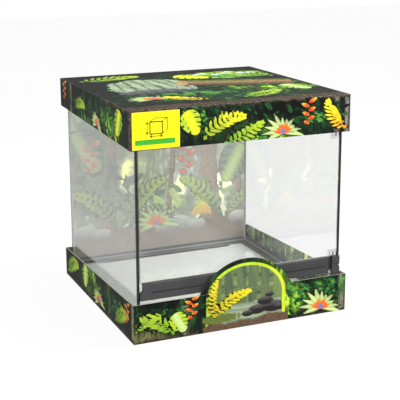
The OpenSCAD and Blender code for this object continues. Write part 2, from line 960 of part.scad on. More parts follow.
module left_latch() {
  mirror([1, 0, 0]) latch();
}

module right_latch() {
  latch();
}

// T-shaped slide that closes a cable inlet, with a ridge for the thumb
module inlet_slide() {
  base_z = slide_pocket_z + slide_clear / 2;
  top_z = cover_top - slide_sink;
  color("#303032")
    translate([inlet_x - slide_lap, inlet_y, 0]) {
      translate([0, -slide_base_w / 2, base_z]) cube([slide_len, slide_base_w, slide_base_t]);
      translate([0, -slide_neck_w / 2, base_z]) cube([slide_len, slide_neck_w, top_z - base_z]);
      translate([slide_len - thumb_in, 1 - inlet_w / 2, top_z - 10 * touch])
        cube([thumb_w, inlet_w - 2, thumb_h]);
    }
}

module right_inlet_slide() {
  inlet_slide();
}

module left_inlet_slide() {
  mirror([1, 0, 0]) inlet_slide();
}

// ---- drain ----

module at_drain(z) {
  translate([drain_x, drain_y, z]) children();
}

module drain_body() {
  color("#303032")
    difference() {
      union() {
        at_drain(sump_z) cylinder(h = flange_top - sump_z, r = neck_r);
        at_drain(flange_z) cylinder(h = flange_t, r = flange_r);
        at_drain(spigot_z) rotate([-90, 0, 0]) cylinder(h = spigot_len, r = spigot_r - barb_rise);
        for (i = [1:3])
          at_drain(spigot_z) rotate([-90, 0, 0])
            translate([0, 0, spigot_len - barb_pitch * i])
              cylinder(h = barb_len, r1 = spigot_r, r2 = spigot_r - barb_rise);
      }
      at_drain(sump_z + sump_floor_t) cylinder(h = flange_top - sump_z, r = drain_bore_r);
      at_drain(spigot_z) rotate([-90, 0, 0]) cylinder(h = spigot_len + eps, r = spigot_bore_r);
    }
}

module drain_gasket() {
  color("black")
    at_drain(deck_z)
      difference() {
        cylinder(h = gasket_t, r = flange_r - gasket_in);
        translate([0, 0, -eps]) cylinder(h = gasket_t + 2 * eps, r = neck_r + neck_clear);
      }
}

module drain_nut() {
  color("#303032")
    at_drain(nut_z)
      difference() {
        cylinder(h = nut_t, r = nut_r);
        translate([0, 0, -eps]) cylinder(h = nut_t + 2 * eps, r = neck_r + neck_clear);
        for (a = [0:30:330])
          rotate(a) translate([nut_r + 0.8, 0, -eps]) cylinder(h = nut_t + 2 * eps, r = notch_r);
      }
}

// Cap pushed over the hose spigot for carriage
module drain_plug() {
  cup_y = drain_y + spigot_len - plug_push;
  color("firebrick")
    translate([drain_x, cup_y, spigot_z]) rotate([-90, 0, 0])
      difference() {
        cylinder(h = plug_len + plug_t, r = spigot_r + plug_t);
        translate([0, 0, -eps]) cylinder(h = plug_push + fit_gap + eps, r = spigot_r + plug_play);
      }
}

module drain_grate() {
  grate_r = flange_r - grate_rim;
  color("#303032")
    at_drain(flange_top + grate_seat)
      difference() {
        union() {
          cylinder(h = grate_t, r = grate_r);
          translate([0, 0, -grate_skirt_h])
            cylinder(h = grate_skirt_h + eps, r = drain_bore_r - grate_play);
        }
        translate([0, 0, -grate_skirt_h - eps])
          cylinder(h = grate_skirt_h + eps, r = drain_bore_r - grate_rim);
        for (a = [0:30:330])
          rotate(a) translate([grate_slot_r0, -grate_slot_w / 2, -eps])
            cube([grate_slot_r1 - grate_slot_r0, grate_slot_w, grate_t + 2 * eps]);
        for (a = [15:30:345])
          rotate(a) translate([grate_r - grate_rim, -1, grate_t / 2]) cube([6, 2, grate_t]);
      }
}

packaging_tray();
display_header();
foam_pad();
bottom_frame();
base_glass();
left_glass();
right_glass();
rear_glass();
lower_front_glass();
front_edge_seals();
rear_corner_seals();
base_sealant();
vent_strip();
vent_mesh();
strip_end_stop();
lower_hinge_block();
upper_hinge_block();
hinge_screws();
lintel();
top_frame();
rear_print_card();
door_glass();
lower_door_shoe();
upper_door_shoe();
hinge_pins();
door_pull();
lock_knob();
lock_clip();
cover_frame();
cover_glass();
cover_mesh();
left_latch();
right_latch();
left_inlet_slide();
right_inlet_slide();
drain_body();
drain_gasket();
drain_nut();
drain_plug();
drain_grate();
packaging_cap();
cap_label();
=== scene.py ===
# %% [markdown]
# # A glass terrarium in its printed card packing
# The object is a front-opening glass tank that stands in a shallow printed card tray and wears a
# printed card cap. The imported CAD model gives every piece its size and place. This script only
# dresses it: it rounds edges, weaves the mesh, prints the card and gives each surface its finish.
# Everything is in metres, in the CAD model's own frame, so nothing has to be fitted by eye.

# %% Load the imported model
import json
import math

import bpy
import numpy as np
from mathutils import Matrix, Vector


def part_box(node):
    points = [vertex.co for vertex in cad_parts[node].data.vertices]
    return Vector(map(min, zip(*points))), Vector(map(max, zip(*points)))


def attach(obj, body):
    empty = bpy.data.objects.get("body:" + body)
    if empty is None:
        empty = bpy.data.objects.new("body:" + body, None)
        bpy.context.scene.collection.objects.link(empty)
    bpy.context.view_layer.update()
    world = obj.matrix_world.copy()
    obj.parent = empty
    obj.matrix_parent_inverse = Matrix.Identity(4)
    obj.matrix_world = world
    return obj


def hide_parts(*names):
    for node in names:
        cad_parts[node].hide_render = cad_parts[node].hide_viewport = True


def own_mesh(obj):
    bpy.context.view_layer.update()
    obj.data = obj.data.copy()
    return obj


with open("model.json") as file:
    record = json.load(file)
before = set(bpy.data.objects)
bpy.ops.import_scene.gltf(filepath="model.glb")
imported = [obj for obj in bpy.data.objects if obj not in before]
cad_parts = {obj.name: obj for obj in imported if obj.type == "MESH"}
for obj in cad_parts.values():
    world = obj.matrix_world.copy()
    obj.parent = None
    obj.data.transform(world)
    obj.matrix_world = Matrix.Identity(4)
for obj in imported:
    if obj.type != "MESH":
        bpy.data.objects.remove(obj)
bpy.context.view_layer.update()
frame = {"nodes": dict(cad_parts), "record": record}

MM = 0.001
nodes = frame["nodes"]
body_of = {node: body for body, members in frame["record"]["behaviour"]["bodies"].items() for node in members}

# %% [markdown]
# ## Camera
# The camera stands to the left of the door and a little above the cap, about two metres away.
# Its place and its lens were found from the corners of the card boxes, whose sizes are known.
# The object sits low in the picture, so the lens is shifted down slightly and not tilted further.

# %% Camera
CAMERA_PLACE = Vector((-0.8621, -2.0128, 0.7994))
CAMERA_PITCH = math.radians(-12.84)
CAMERA_YAW = math.radians(-23.30)
CAMERA_ROLL = math.radians(-0.24)
CAMERA_LENS = 92.74  # mm, on a sensor 36 mm wide
CAMERA_SHIFT = -0.1  # of the sensor's width

bpy.ops.object.camera_add()
camera = bpy.context.object
camera.data.sensor_width = 36
camera.data.lens = CAMERA_LENS
camera.data.shift_y = CAMERA_SHIFT
turn = Matrix.Rotation(CAMERA_YAW, 4, "Z") @ Matrix.Rotation(math.pi / 2 + CAMERA_PITCH, 4, "X")
camera.matrix_world = Matrix.Translation(CAMERA_PLACE) @ turn @ Matrix.Rotation(CAMERA_ROLL, 4, "Z")
bpy.context.scene.camera = camera
bpy.context.scene.view_settings.view_transform = "Standard"
print("camera stands", round(CAMERA_PLACE.length, 2), "m from the tray")

# %% [markdown]
# ## Node helpers
# Every finish is a small tree of shader nodes. Short helpers keep those trees readable: they turn a
# screen colour into the linear numbers that shaders use, add a node with its settings, do sums, mix
# colours, and read noise at a place on the piece.

# %% Node helpers
def ink(red, green, blue):
    """A colour as a screen shows it, 0 to 255, as the linear colour that a shader needs."""
    parts = []
    for part in (red, green, blue):
        share = part / 255
        parts.append(share / 12.92 if share <= 0.04045 else ((share + 0.055) / 1.055) ** 2.4)
    return (*parts, 1.0)


def add(tree, kind, sockets=None, **settings):
    """Adds a node, sets its properties, and fills its inputs with values or with other sockets."""
    node = tree.nodes.new(kind)
    for name, value in settings.items():
        setattr(node, name, value)
    for name, value in (sockets or {}).items():
        if isinstance(value, bpy.types.NodeSocket):
            tree.links.new(value, node.inputs[name])
        else:
            node.inputs[name].default_value = value
    return node


def feed(tree, node, values):
    """Links values to a node's inputs: {input: value}."""
    for name, value in values.items():
        tree.links.new(value, node.inputs[name])


def sums(tree, operation, first, second=0.0):
    """One step of arithmetic, as a Math node's output."""
    return add(tree, "ShaderNodeMath", {0: first, 1: second}, operation=operation).outputs[0]


def product(tree, first, *factors):
    """Values multiplied one after another."""
    for factor in factors:
        first = sums(tree, "MULTIPLY", first, factor)
    return first


def mixed(tree, share, first, second, blend="MIX"):
    """Two colours mixed by a share, as a Mix node's output."""
    sockets = {"Factor": share, 6: first, 7: second}
    return add(tree, "ShaderNodeMix", sockets, data_type="RGBA", blend_type=blend).outputs[2]


def ramp(tree, value, low, high, start=0.0, stop=1.0):
    """A smooth step: start below low, stop above high."""
    sockets = {"Value": value, "From Min": low, "From Max": high, "To Min": start, "To Max": stop}
    return add(tree, "ShaderNodeMapRange", sockets, interpolation_type="SMOOTHSTEP").outputs["Result"]


def noise(tree, place, scale, detail=2.0, roughness=0.5):
    """A noise texture's value, 0.5 on average."""
    sockets = {"Vector": place, "Scale": scale, "Detail": detail, "Roughness": roughness}
    return add(tree, "ShaderNodeTexNoise", sockets).outputs["Fac"]


def grey(tree, value):
    """A value as a colour."""
    return add(tree, "ShaderNodeCombineColor", {0: value, 1: value, 2: value}).outputs[0]


def own_place(tree):
    """Places on a piece, in its own coordinates."""
    return add(tree, "ShaderNodeTexCoord").outputs["Object"]


print("node helpers are ready")

# %% [markdown]
# A finish is a material with one Principled shader. Patterns that several finishes share are node
# groups with named inputs. Glass and the studio's white also mix in a second, simpler shader.

# %% Materials and groups
FLOAT = "NodeSocketFloat"
COLOUR = "NodeSocketColor"
VECTOR = "NodeSocketVector"
WHITE = (1, 1, 1, 1)
BLACK = (0, 0, 0, 1)


def new_group(name, inputs, outputs):
    """A node group with named inputs and outputs: {name: (socket type, default value)}."""
    group = bpy.data.node_groups.new(name, "ShaderNodeTree")
    for title, (kind, default) in inputs.items():
        socket = group.interface.new_socket(title, in_out="INPUT", socket_type=kind)
        if default is not None:
            socket.default_value = default
    for title, kind in outputs.items():
        group.interface.new_socket(title, in_out="OUTPUT", socket_type=kind)
    start = group.nodes.new("NodeGroupInput")
    end = group.nodes.new("NodeGroupOutput")
    return group, start.outputs, end


def new_material(name, **constants):
    """A material with one Principled BSDF, whose constant sockets are set by name."""
    material = bpy.data.materials.new(name)
    material.use_nodes = True
    shader = material.node_tree.nodes["Principled BSDF"]
    for title, value in constants.items():
        shader.inputs[title.replace("_", " ")].default_value = value
    return material, material.node_tree, shader


def bump(tree, shader, height, distance):
    """Feeds a height, in shares of distance, to the shader's normal."""
    node = add(tree, "ShaderNodeBump", {"Height": height, "Distance": distance, "Strength": 1.0})
    feed(tree, shader, {"Normal": node.outputs["Normal"]})


def second_shader(tree, share, first, second, outlet="Material Output"):
    """Shows a mix of two shaders, with that share of the second."""
    mix = add(tree, "ShaderNodeMixShader", {0: share, 1: first.outputs[0], 2: second.outputs[0]})
    feed(tree, tree.nodes[outlet], {"Surface": mix.outputs[0]})


print("finishes can be mixed")

# %% [markdown]
# ## Studio
# The photograph is a catalogue picture on white, with no hard shadows. A large pale floor runs out
# of view on all sides. What the camera, mirrors and glass see of it is mixed with plain white, so
# it looks like white paper and still keeps a soft contact shadow. The lamps are broad and weak.
# The cap keeps the top light out of the tank, so the strongest lamp shines in through the right
# pane, low enough to pass under the cap. From the camera's side it shows only inside the tank.

# %% Studio
MIRROR_LOSS = 0.6  # how much darker the white studio is where a pane or a moulding mirrors it
PAPER_SHARE = 0.93  # how much of the floor is plain white; the rest takes the contact shadow
DOME_STRENGTH = 0.62
FLOOR_SIZE = 14.0  # m
FLOOR_DROP = 0.4 * MM  # keeps the floor just clear of the tray's underside
LAMP_AIM = Vector((0, 0, 0.2))
LAMPS = (  # name, place in m, side in m, power in W
    ("front_softbox", (-0.8, -2.8, 1.7), 1.8, 34), ("left_softbox", (-2.6, 0.5, 1.5), 1.6, 9),
    ("right_softbox", (2.3, -0.5, 1.6), 1.6, 100), ("top_softbox", (0.3, 0.2, 2.8), 2.0, 16))


def look_white(tree, kind, lit, share, outlet):
    """Shows the camera, mirrors and glass a share of plain white, and all other rays what is lit."""
    seen = add(tree, "ShaderNodeLightPath").outputs
    looks = sums(tree, "MAXIMUM", seen["Is Camera Ray"], seen["Is Glossy Ray"])
    looks = sums(tree, "MAXIMUM", looks, seen["Is Transmission Ray"])
    dimmed = sums(tree, "SUBTRACT", 1.0, product(tree, seen["Is Reflection Ray"], MIRROR_LOSS))
    white = add(tree, kind, {"Color": WHITE, "Strength": dimmed})
    second_shader(tree, product(tree, looks, share), lit, white, outlet)


bpy.ops.mesh.primitive_plane_add(size=FLOOR_SIZE, location=(0, 0, -FLOOR_DROP))
floor = bpy.context.object
floor.name = "studio_floor"
floor_paper, tree, shader = new_material("floor_paper", Base_Color=ink(240, 240, 240), Roughness=0.9)
look_white(tree, "ShaderNodeEmission", shader, PAPER_SHARE, "Material Output")
floor.data.materials.append(floor_paper)

world = bpy.data.worlds.new("studio_air")
bpy.context.scene.world = world
world.use_nodes = True
dome = world.node_tree.nodes["Background"]
dome.inputs["Color"].default_value = WHITE
dome.inputs["Strength"].default_value = DOME_STRENGTH
look_white(world.node_tree, "ShaderNodeBackground", dome, 1.0, "World Output")

for name, place, side, power in LAMPS:
    bpy.ops.object.light_add(type="AREA", location=place)
    lamp = bpy.context.object
    lamp.name = name
    lamp.data.size = side
    lamp.data.energy = power
    lamp.rotation_euler = (LAMP_AIM - Vector(place)).to_track_quat("-Z", "Y").to_euler()
print("studio: floor, dome and", len(LAMPS), "soft lamps")

# %% [markdown]
# ## Modelling helpers
# Operators act on whatever is selected, and the loaded nodes come in selected. So each step starts
# by clearing the selection. Faces and edges are then picked in code by where they are or which way
# they point. A finished piece has its place in its mesh and its object at the origin.

# %% Modelling helpers
def only(piece):
    """Selects one object and nothing else."""
    bpy.ops.object.select_all(action="DESELECT")
    piece.select_set(True)
    bpy.context.view_layer.objects.active = piece


def settle(piece):
    """Moves an object's place, turn and scale into its mesh."""
    only(piece)
    bpy.ops.object.transform_apply(location=True, rotation=True, scale=True)


def editing(piece, mode):
    """Opens a piece for editing, with vertices, edges or faces to pick and none picked."""
    only(piece)
    bpy.ops.object.mode_set(mode="EDIT")
    bpy.ops.mesh.select_mode(type=mode)
    bpy.ops.mesh.select_all(action="DESELECT")


def pick(piece, kind, test):
    """Picks the edges or faces that pass a test, in edit mode."""
    bpy.ops.object.mode_set(mode="OBJECT")
    items = piece.data.edges if kind == "EDGE" else piece.data.polygons
    for item in items:
        item.select = test(item)
    bpy.ops.object.mode_set(mode="EDIT")


def edge_line(piece, edge):
    """An edge's two ends."""
    return [piece.data.vertices[i].co for i in edge.vertices]


def along(piece, axis):
    """A test for edges that run along an axis."""
    def test(edge):
        first, second = edge_line(piece, edge)
        line = second - first
        return abs(line[axis]) > 0.999 * line.length
    return test


print("selection helpers are ready")

# %% [markdown]
# Pieces start as plain boxes, or as copies of the CAD nodes. Boxes that carry a print are cut into
# a grid, and copies get eased edges and smooth shading. `fit_out` then hands a piece over.

# %% Pieces
def block(name, low, high):
    """A box between two corners, in metres."""
    bpy.ops.object.select_all(action="DESELECT")
    low, high = Vector(low), Vector(high)
    bpy.ops.mesh.primitive_cube_add(size=1, location=(low + high) / 2, scale=high - low)
    piece = bpy.context.object
    piece.name = name
    settle(piece)
    return piece


def grid_lines(piece, axis, step):
    """Cuts a box's faces into a grid, with lines across one axis about one step apart."""
    length = piece.dimensions[axis]
    editing(piece, "EDGE")
    pick(piece, "EDGE", along(piece, axis))
    bpy.ops.mesh.subdivide(number_cuts=max(1, round(length / step) - 1))
    bpy.ops.object.mode_set(mode="OBJECT")


def smooth_by_angle(piece, degrees=35):
    """Smooth shading that keeps edges sharper than the angle."""
    only(piece)
    bpy.ops.object.shade_smooth_by_angle(angle=math.radians(degrees))


def weigh_normals(piece):
    """Lets large flat faces keep their own normals, so only the eased edges look round."""
    only(piece)
    weighted = piece.modifiers.new("large_faces_flat", "WEIGHTED_NORMAL")
    weighted.keep_sharp = True
    weighted.weight = 100
    bpy.ops.object.modifier_apply(modifier=weighted.name)


def fit_out(piece, node, material):
    """Hands a finished piece to the frame in place of a CAD node."""
    piece.data.materials.clear()
    piece.data.materials.append(material)
    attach(piece, body_of[node])
    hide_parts(node)


def eased_copy(node, name, ease, segments=2, flat=False):
    """A copy of a CAD node whose sharp edges are eased, as real mouldings and cut glass are."""
    piece = bpy.data.objects.new(name, nodes[node].data.copy())
    bpy.context.scene.collection.objects.link(piece)
    editing(piece, "VERT")
    bpy.ops.mesh.select_all(action="SELECT")
    bpy.ops.mesh.remove_doubles(threshold=0.005 * MM)
    bpy.ops.mesh.dissolve_limited(angle_limit=math.radians(0.5))
    bpy.ops.mesh.select_mode(type="EDGE")
    bpy.ops.mesh.select_all(action="DESELECT")
    bpy.ops.mesh.edges_select_sharp(sharpness=math.radians(35))
    bpy.ops.mesh.bevel(offset=ease, segments=segments, affect="EDGES", clamp_overlap=True)
    bpy.ops.object.mode_set(mode="OBJECT")
    if not flat:
        smooth_by_angle(piece, 50)
        weigh_normals(piece)
    return piece


print("pieces can be made and handed over")

# %% [markdown]
# ## Painting a print
# The card is printed with jungle colours. A picture file would be the usual way, but this model
# uses none, so the print is painted in layers on a fine mesh, as a screen printer would build it.
# Each corner of the mesh stores a ground colour and how leafy, woody or earthy the ground is. For
# the clear-cut shapes it stores the distance to their outline and not the shape itself: a distance
# is smooth, so the shader can cut it sharply at any scale, even on a mesh with 2 mm squares.

# %% Shapes as distances
def turned(s, h, place, turn):
    """Coordinates that start at a place, with x along turn, in degrees."""
    cos, sin = math.cos(math.radians(turn)), math.sin(math.radians(turn))
    return (s - place[0]) * cos + (h - place[1]) * sin, (h - place[1]) * cos - (s - place[0]) * sin


def ahead(place, distance, turn):
    """The point at a distance from a place, along turn."""
    return (place[0] + distance * math.cos(math.radians(turn)),
            place[1] + distance * math.sin(math.radians(turn)))


def leaf(s, h, base, length, width, turn, bend=0.0):
    """Distance in mm to a pointed leaf that starts at base and points along turn."""
    x, y = turned(s, h, base, turn)
    part = np.clip(x / length, 0, 1)
    y = y - bend * length * part ** 2
    half = width / 2 * np.sin(np.pi * part ** 0.8)
    past = np.maximum(-x, x - length)
    return np.where(past > 0, np.hypot(past, y), np.abs(y) - half)


def oval(s, h, middle, radii):
    """Distance in mm to an ellipse."""
    share = np.hypot((s - middle[0]) / radii[0], (h - middle[1]) / radii[1])
    return (share - 1) * min(radii)


def slab(s, h, middle, size, turn=0.0, corner=1.0):
    """Distance in mm to a rectangle with round corners."""
    x, y = turned(s, h, middle, turn)
    x = np.abs(x) - size[0] / 2 + corner
    y = np.abs(y) - size[1] / 2 + corner
    return np.hypot(np.maximum(x, 0), np.maximum(y, 0)) + np.minimum(np.maximum(x, y), 0) - corner


def patch(s, h, middle, radii):
    """A soft round patch, 1 in its middle and 0 outside."""
    return np.exp(-((s - middle[0]) / radii[0]) ** 2 - ((h - middle[1]) / radii[1]) ** 2)


def ripple(s, pitch, seed):
    """An uneven wave between about -1 and 1, such as the edge of bark."""
    t = 2 * np.pi * s / pitch
    return 0.5 * np.sin(t + seed) + 0.3 * np.sin(2.7 * t + 2 * seed) + 0.2 * np.sin(5.9 * t + 5 * seed)


def step(distance, soft=1.5):
    """1 inside a shape and 0 outside, with a soft edge of that many mm."""
    return np.clip(0.5 - distance / (2 * soft), 0, 1)


print("shapes: leaf, oval, slab, patch")

# %% [markdown]
# The canvas keeps one panel's layers. `wash` lays ground colour softly, with its texture: leaf,
# bark or soil. `stamp` adds a clear-cut shape to one of three layers, dark plates below, large
# shapes above them and bright fine shapes on top.

# %% The canvas
FAR = 60.0  # mm, a distance at which no shape shows
SPREAD = 2.5  # mm that a shape's ink is stored past its outline, so that the cut finds it
LAYERS = 3
LEAFY = (1.0, 0.0, 0.0)
WOODY = (0.0, 1.0, 0.0)
EARTHY = (0.0, 0.0, 1.0)
PLAIN = (0.0, 0.0, 0.0)


class Canvas:
    """The paint on one flat panel, at the points s across and h up, in mm."""

    def __init__(self, s, h, ground, kind=LEAFY):
        self.s, self.h = s, h
        self.ground = np.tile(np.array(ground[:3]), (len(s), 1))
        self.kind = np.tile(np.array(kind), (len(s), 1))
        self.edges = np.full((len(s), LAYERS), FAR)
        self.inks = [np.zeros((len(s), 3)) for _ in range(LAYERS)]

    def wash(self, amount, colour, kind=None):
        """Lays colour over the ground, and its texture too if one is named."""
        amount = np.clip(amount, 0, 1)[:, None]
        self.ground += amount * (np.array(colour[:3]) - self.ground)
        if kind is not None:
            self.kind += amount * (np.array(kind) - self.kind)

    def stamp(self, layer, distance, colour, second=None, share=None):
        """Adds a shape. A second colour is mixed in by share, for shading."""
        paint = np.tile(np.array(colour[:3]), (len(self.s), 1))
        if second is not None:
            share = np.clip(np.broadcast_to(share, len(self.s)), 0, 1)[:, None]
            paint = paint + share * (np.array(second[:3]) - paint)
        covers = (distance < 0) | (distance < np.minimum(self.edges[:, layer], SPREAD))
        self.inks[layer][covers] = paint[covers]
        self.edges[:, layer] = np.minimum(self.edges[:, layer], distance)
        for above in range(layer + 1, LAYERS):
            self.edges[:, above] = np.maximum(self.edges[:, above], -distance)


print("canvas layers:", LAYERS)

# %% [markdown]
# The print's motifs are plants: a fern frond, a bromeliad with a red heart, a hanging heliconia, a
# slit leaf, and a thicket of jungle leaves. Each is a loop over leaves, so one function serves
# every panel at any size. Shapes of one colour are joined by taking the smallest distance, which
# gives them one common outline.

# %% Print colours
PALE_LEAF = ink(204, 226, 146)
DEEP_LEAF = ink(30, 78, 26)
SUN_YELLOW = ink(242, 234, 24)
LIME = ink(178, 208, 40)
GRASS = ink(96, 152, 40)
RED_HEART = ink(226, 52, 30)
ORANGE = ink(244, 148, 30)
BUD_BLUE = ink(86, 124, 190)
NIGHT = ink(6, 10, 7)
DARK_GREEN = ink(12, 42, 18)
GREEN = ink(28, 94, 38)
BRIGHT_GREEN = ink(128, 184, 40)
BARK = ink(74, 60, 46)
OLIVE = ink(104, 104, 58)
TRUNK = ink(124, 116, 98)
JUNGLE = (ink(5, 20, 9), ink(14, 54, 20), ink(24, 84, 32), ink(42, 120, 50), ink(100, 164, 56))
SHADE = (ink(4, 12, 6), ink(8, 34, 14), ink(16, 60, 24), ink(30, 90, 38))
print("print colours are mixed")

# %% [markdown]
# The fern and the two flowers are small leaves on a rib, round a middle and down a stem.

# %% Fern and flowers
LEAFLETS = 10  # pairs on a frond


def fern(canvas, root, length, turn, bend=0.0, colours=(GRASS, LIME), wide=0.3):
    """A frond: paired leaflets along a rib that curves by bend degrees, over a dark edge."""
    s, h = canvas.s, canvas.h
    stride = length / LEAFLETS
    place, parts = root, []
    for i in range(LEAFLETS):
        share = i / LEAFLETS
        heading = turn + bend * share
        place = ahead(place, stride, heading)
        parts.append(slab(s, h, place, (1.2 * stride, 2.4 - share), heading, corner=0.3))
        reach = length * wide * (0.25 + 0.75 * math.sin(math.pi * share ** 0.7)) * (1.06 if i % 3 else 0.92)
        for side in (-1, 1):
            lean = heading + side * (68 - 30 * share)
            parts.append(leaf(s, h, place, reach, 0.62 * stride, lean, -0.16 * side))
    whole = np.minimum.reduce(parts)
    canvas.stamp(0, whole - 1.6, NIGHT)
    away = np.hypot(s - root[0], h - root[1]) / length
    canvas.stamp(2, whole, *colours, away + 0.35 * ripple(s - h, 23, 1))


def bromeliad(canvas, middle, reach, tilt=0.0):
    """A rosette seen from the side: arching pale leaves, short red ones and a blue bud."""
    s, h = canvas.s, canvas.h
    leaves = []
    for i in range(11):
        turn = tilt + 2 + 17.5 * ((4 * i) % 11)
        length = reach * (0.82 + 0.18 * math.cos(2.6 * i))
        leaves.append(leaf(s, h, middle, length, reach * 0.19, turn, -0.3 * math.cos(math.radians(turn))))
    canvas.stamp(0, np.minimum.reduce(leaves) - 1.4, NIGHT)
    away = np.hypot(s - middle[0], h - middle[1]) / reach
    for i, edge in enumerate(leaves):
        shade = 0.25 + 0.5 * away - edge / (reach * 0.1) - 0.3 * (i % 2)
        canvas.stamp(1, edge + 0.3, DEEP_LEAF, PALE_LEAF, shade)
    for i in range(7):
        edge = leaf(s, h, middle, reach * (0.5 - 0.1 * (i % 2)), reach * 0.13, tilt + 20 + 23 * i)
        canvas.stamp(2, edge, RED_HEART, ORANGE, 1.8 * away)
    bud = oval(s, h, (middle[0], middle[1] + reach * 0.08), (reach * 0.07, reach * 0.1))
    canvas.stamp(2, bud, BUD_BLUE)


def heliconia(canvas, top, length):
    """A hanging flower: red boat-shaped bracts with yellow tips on both sides of a stem."""
    s, h = canvas.s, canvas.h
    canvas.stamp(2, slab(s, h, (top[0], top[1] - length / 2), (1.4, length), corner=0.5), LIME)
    for i in range(6):
        base = (top[0], top[1] - length * (0.12 + 0.15 * i))
        side = 1 if i % 2 else -1
        edge = leaf(s, h, base, length * (0.4 - 0.03 * i), length * 0.15, 90 + 55 * side, 0.15 * side)
        away = np.hypot(s - base[0], h - base[1])
        canvas.stamp(0, edge - 1.2, NIGHT)
        canvas.stamp(2, edge, RED_HEART, SUN_YELLOW, away / (length * 0.3) - 0.4)


print("motifs: fern, bromeliad, heliconia")

# %% [markdown]
# The slit leaf is one large blade with gaps cut into it. A blossom is five petals. A thicket is many
# leaves that lie over one another, each turned on by the golden angle, so they never line up.

# %% Leaves and blossoms
GOLDEN_TURN = 2.39996  # radians, spreads the leaves of a thicket evenly
PETALS = 5


def slit_leaf(canvas, stalk, size, turn, colours=(BRIGHT_GREEN, SUN_YELLOW)):
    """A broad leaf with slits between its veins, hung from its stalk."""
    s, h = canvas.s, canvas.h
    x, y = (part / size for part in turned(s, h, ahead(stalk, 0.46 * size, turn), turn))
    blade = (np.hypot(x / 0.5, y / (0.4 - 0.22 * x)) - 1) * 0.4 * size
    slits = []
    for i in range(4):
        base = ahead(stalk, (0.14 + 0.17 * i) * size, turn)
        for side in (-1, 1):
            start = ahead(base, 0.12 * side * size, turn + 90)
            slits.append(leaf(s, h, start, 0.45 * size, 0.055 * size, turn + side * (78 - 12 * i)))
    canvas.stamp(0, blade - 1.5, NIGHT)
    whole = np.maximum(blade, -np.minimum.reduce(slits))
    canvas.stamp(2, whole, *colours, 1.4 - 7 * np.abs(y) + 0.5 * ripple(s + h, 9, 1))


def blossom(canvas, middle, length, width, turn, colours):
    """Five petals round a middle."""
    for petal in range(PETALS):
        edge = leaf(canvas.s, canvas.h, middle, length, width, 360 / PETALS * petal + turn)
        canvas.stamp(2, edge, *colours, petal / PETALS)


def thicket(canvas, middle, radii, count, size, colours, seed=0):
    """Overlapping jungle leaves round a place, the later ones brighter and on top."""
    s, h = canvas.s, canvas.h
    for i in range(count):
        far = math.sqrt(1 - i / count)
        angle = GOLDEN_TURN * (i + seed)
        base = (middle[0] + radii[0] * far * math.cos(angle), middle[1] + radii[1] * far * math.sin(angle))
        turn = 90 + 75 * math.sin(2.1 * (i + seed))
        length = size * (0.75 + 0.35 * math.sin(3.7 * i + seed))
        near = (np.abs(s - base[0]) < length + 4) & (np.abs(h - base[1]) < length + 4)
        edge = np.full(len(s), FAR)
        edge[near] = leaf(s[near], h[near], base, length, length * 0.36, turn, 0.12 * math.sin(i))
        rank = i / count * (len(colours) - 1)
        across = np.abs(turned(s, h, base, turn)[1]) / (length * 0.14)
        canvas.stamp(0, edge, colours[int(rank)], colours[int(rank) + 1], across)


print("motifs: slit leaf, blossom, thicket")

# %% [markdown]
# ## Printing ink and card
# One node group turns the stored layers into ink. Three textures break up the ground: overlapping
# leaf cells, streaks of bark and crumbs of soil, each shown only where the panel asks for it. The
# group also adds the fine mottling that printing leaves on card.

# %% Printed card group
card_ink, given, result = new_group(
    "card_ink",
    {"Place": (VECTOR, None), "Ground": (COLOUR, BLACK), "Kind": (VECTOR, None), "Edges": (VECTOR, None),
     "Ink 1": (COLOUR, BLACK), "Ink 2": (COLOUR, BLACK), "Ink 3": (COLOUR, BLACK), "Wash": (FLOAT, 0.0),
     "Veil": (COLOUR, ink(228, 228, 222)), "Leaf contrast": (FLOAT, 1.0), "Leaf scale": (FLOAT, 1.0),
     "Fold wear": (FLOAT, 0.0)},
    {"Color": COLOUR, "Height": FLOAT, "Roughness": FLOAT})
g = card_ink
kinds = add(g, "ShaderNodeSeparateXYZ", {0: given["Kind"]}).outputs
edges = add(g, "ShaderNodeSeparateXYZ", {0: given["Edges"]}).outputs
drift = add(g, "ShaderNodeTexNoise", {"Vector": given["Place"], "Scale": 16.0, "Detail": 3.0})
drift = add(g, "ShaderNodeVectorMath", {0: drift.outputs["Color"], 1: (0.5, 0.5, 0.5)}, operation="SUBTRACT")
drift = add(g, "ShaderNodeVectorMath", {0: drift.outputs[0], "Scale": 0.035}, operation="SCALE")
place = add(g, "ShaderNodeVectorMath", {0: given["Place"], 1: drift.outputs[0]}, operation="ADD").outputs[0]

print("ink group: places")

# %% [markdown]
# The leaf texture has three sizes of leaves, each a long cell with its own brightness. Bark is
# streaks that run up the panel, and soil is crumbs. Each counts as far as the ground is of its kind.

# %% Leaf, bark and soil textures
LEAF_CELLS = (  # cells per metre, stretch, lean in radians, share of the light
    (34.0, 0.4, 0.9, 0.9), (75.0, 0.42, -0.5, 0.8), (160.0, 0.38, 0.3, 0.55))
leaves = add(g, "ShaderNodeVectorMath", {0: place, "Scale": given["Leaf scale"]}, operation="SCALE")
leaves = leaves.outputs[0]
brightness = 0.28
for size, stretch, lean, share in LEAF_CELLS:
    sockets = {"Vector": leaves, "Rotation": (0, 0, lean), "Scale": (1.0, stretch, 1.0)}
    lay = add(g, "ShaderNodeMapping", sockets).outputs[0]
    cell = add(g, "ShaderNodeTexVoronoi", {"Vector": lay, "Scale": size}, feature="F1").outputs
    luck = add(g, "ShaderNodeSeparateColor", {0: cell["Color"]}).outputs[0]
    part = product(g, ramp(g, cell["Distance"], 0.6, 0.1), ramp(g, luck, 0.3, 1.0), share * 2.4)
    brightness = sums(g, "ADD", part, brightness)
clumps = ramp(g, noise(g, leaves, 19.0, 4.0, 0.6), 0.36, 0.64, 0.18, 1.75)
leafy = product(g, brightness, clumps)

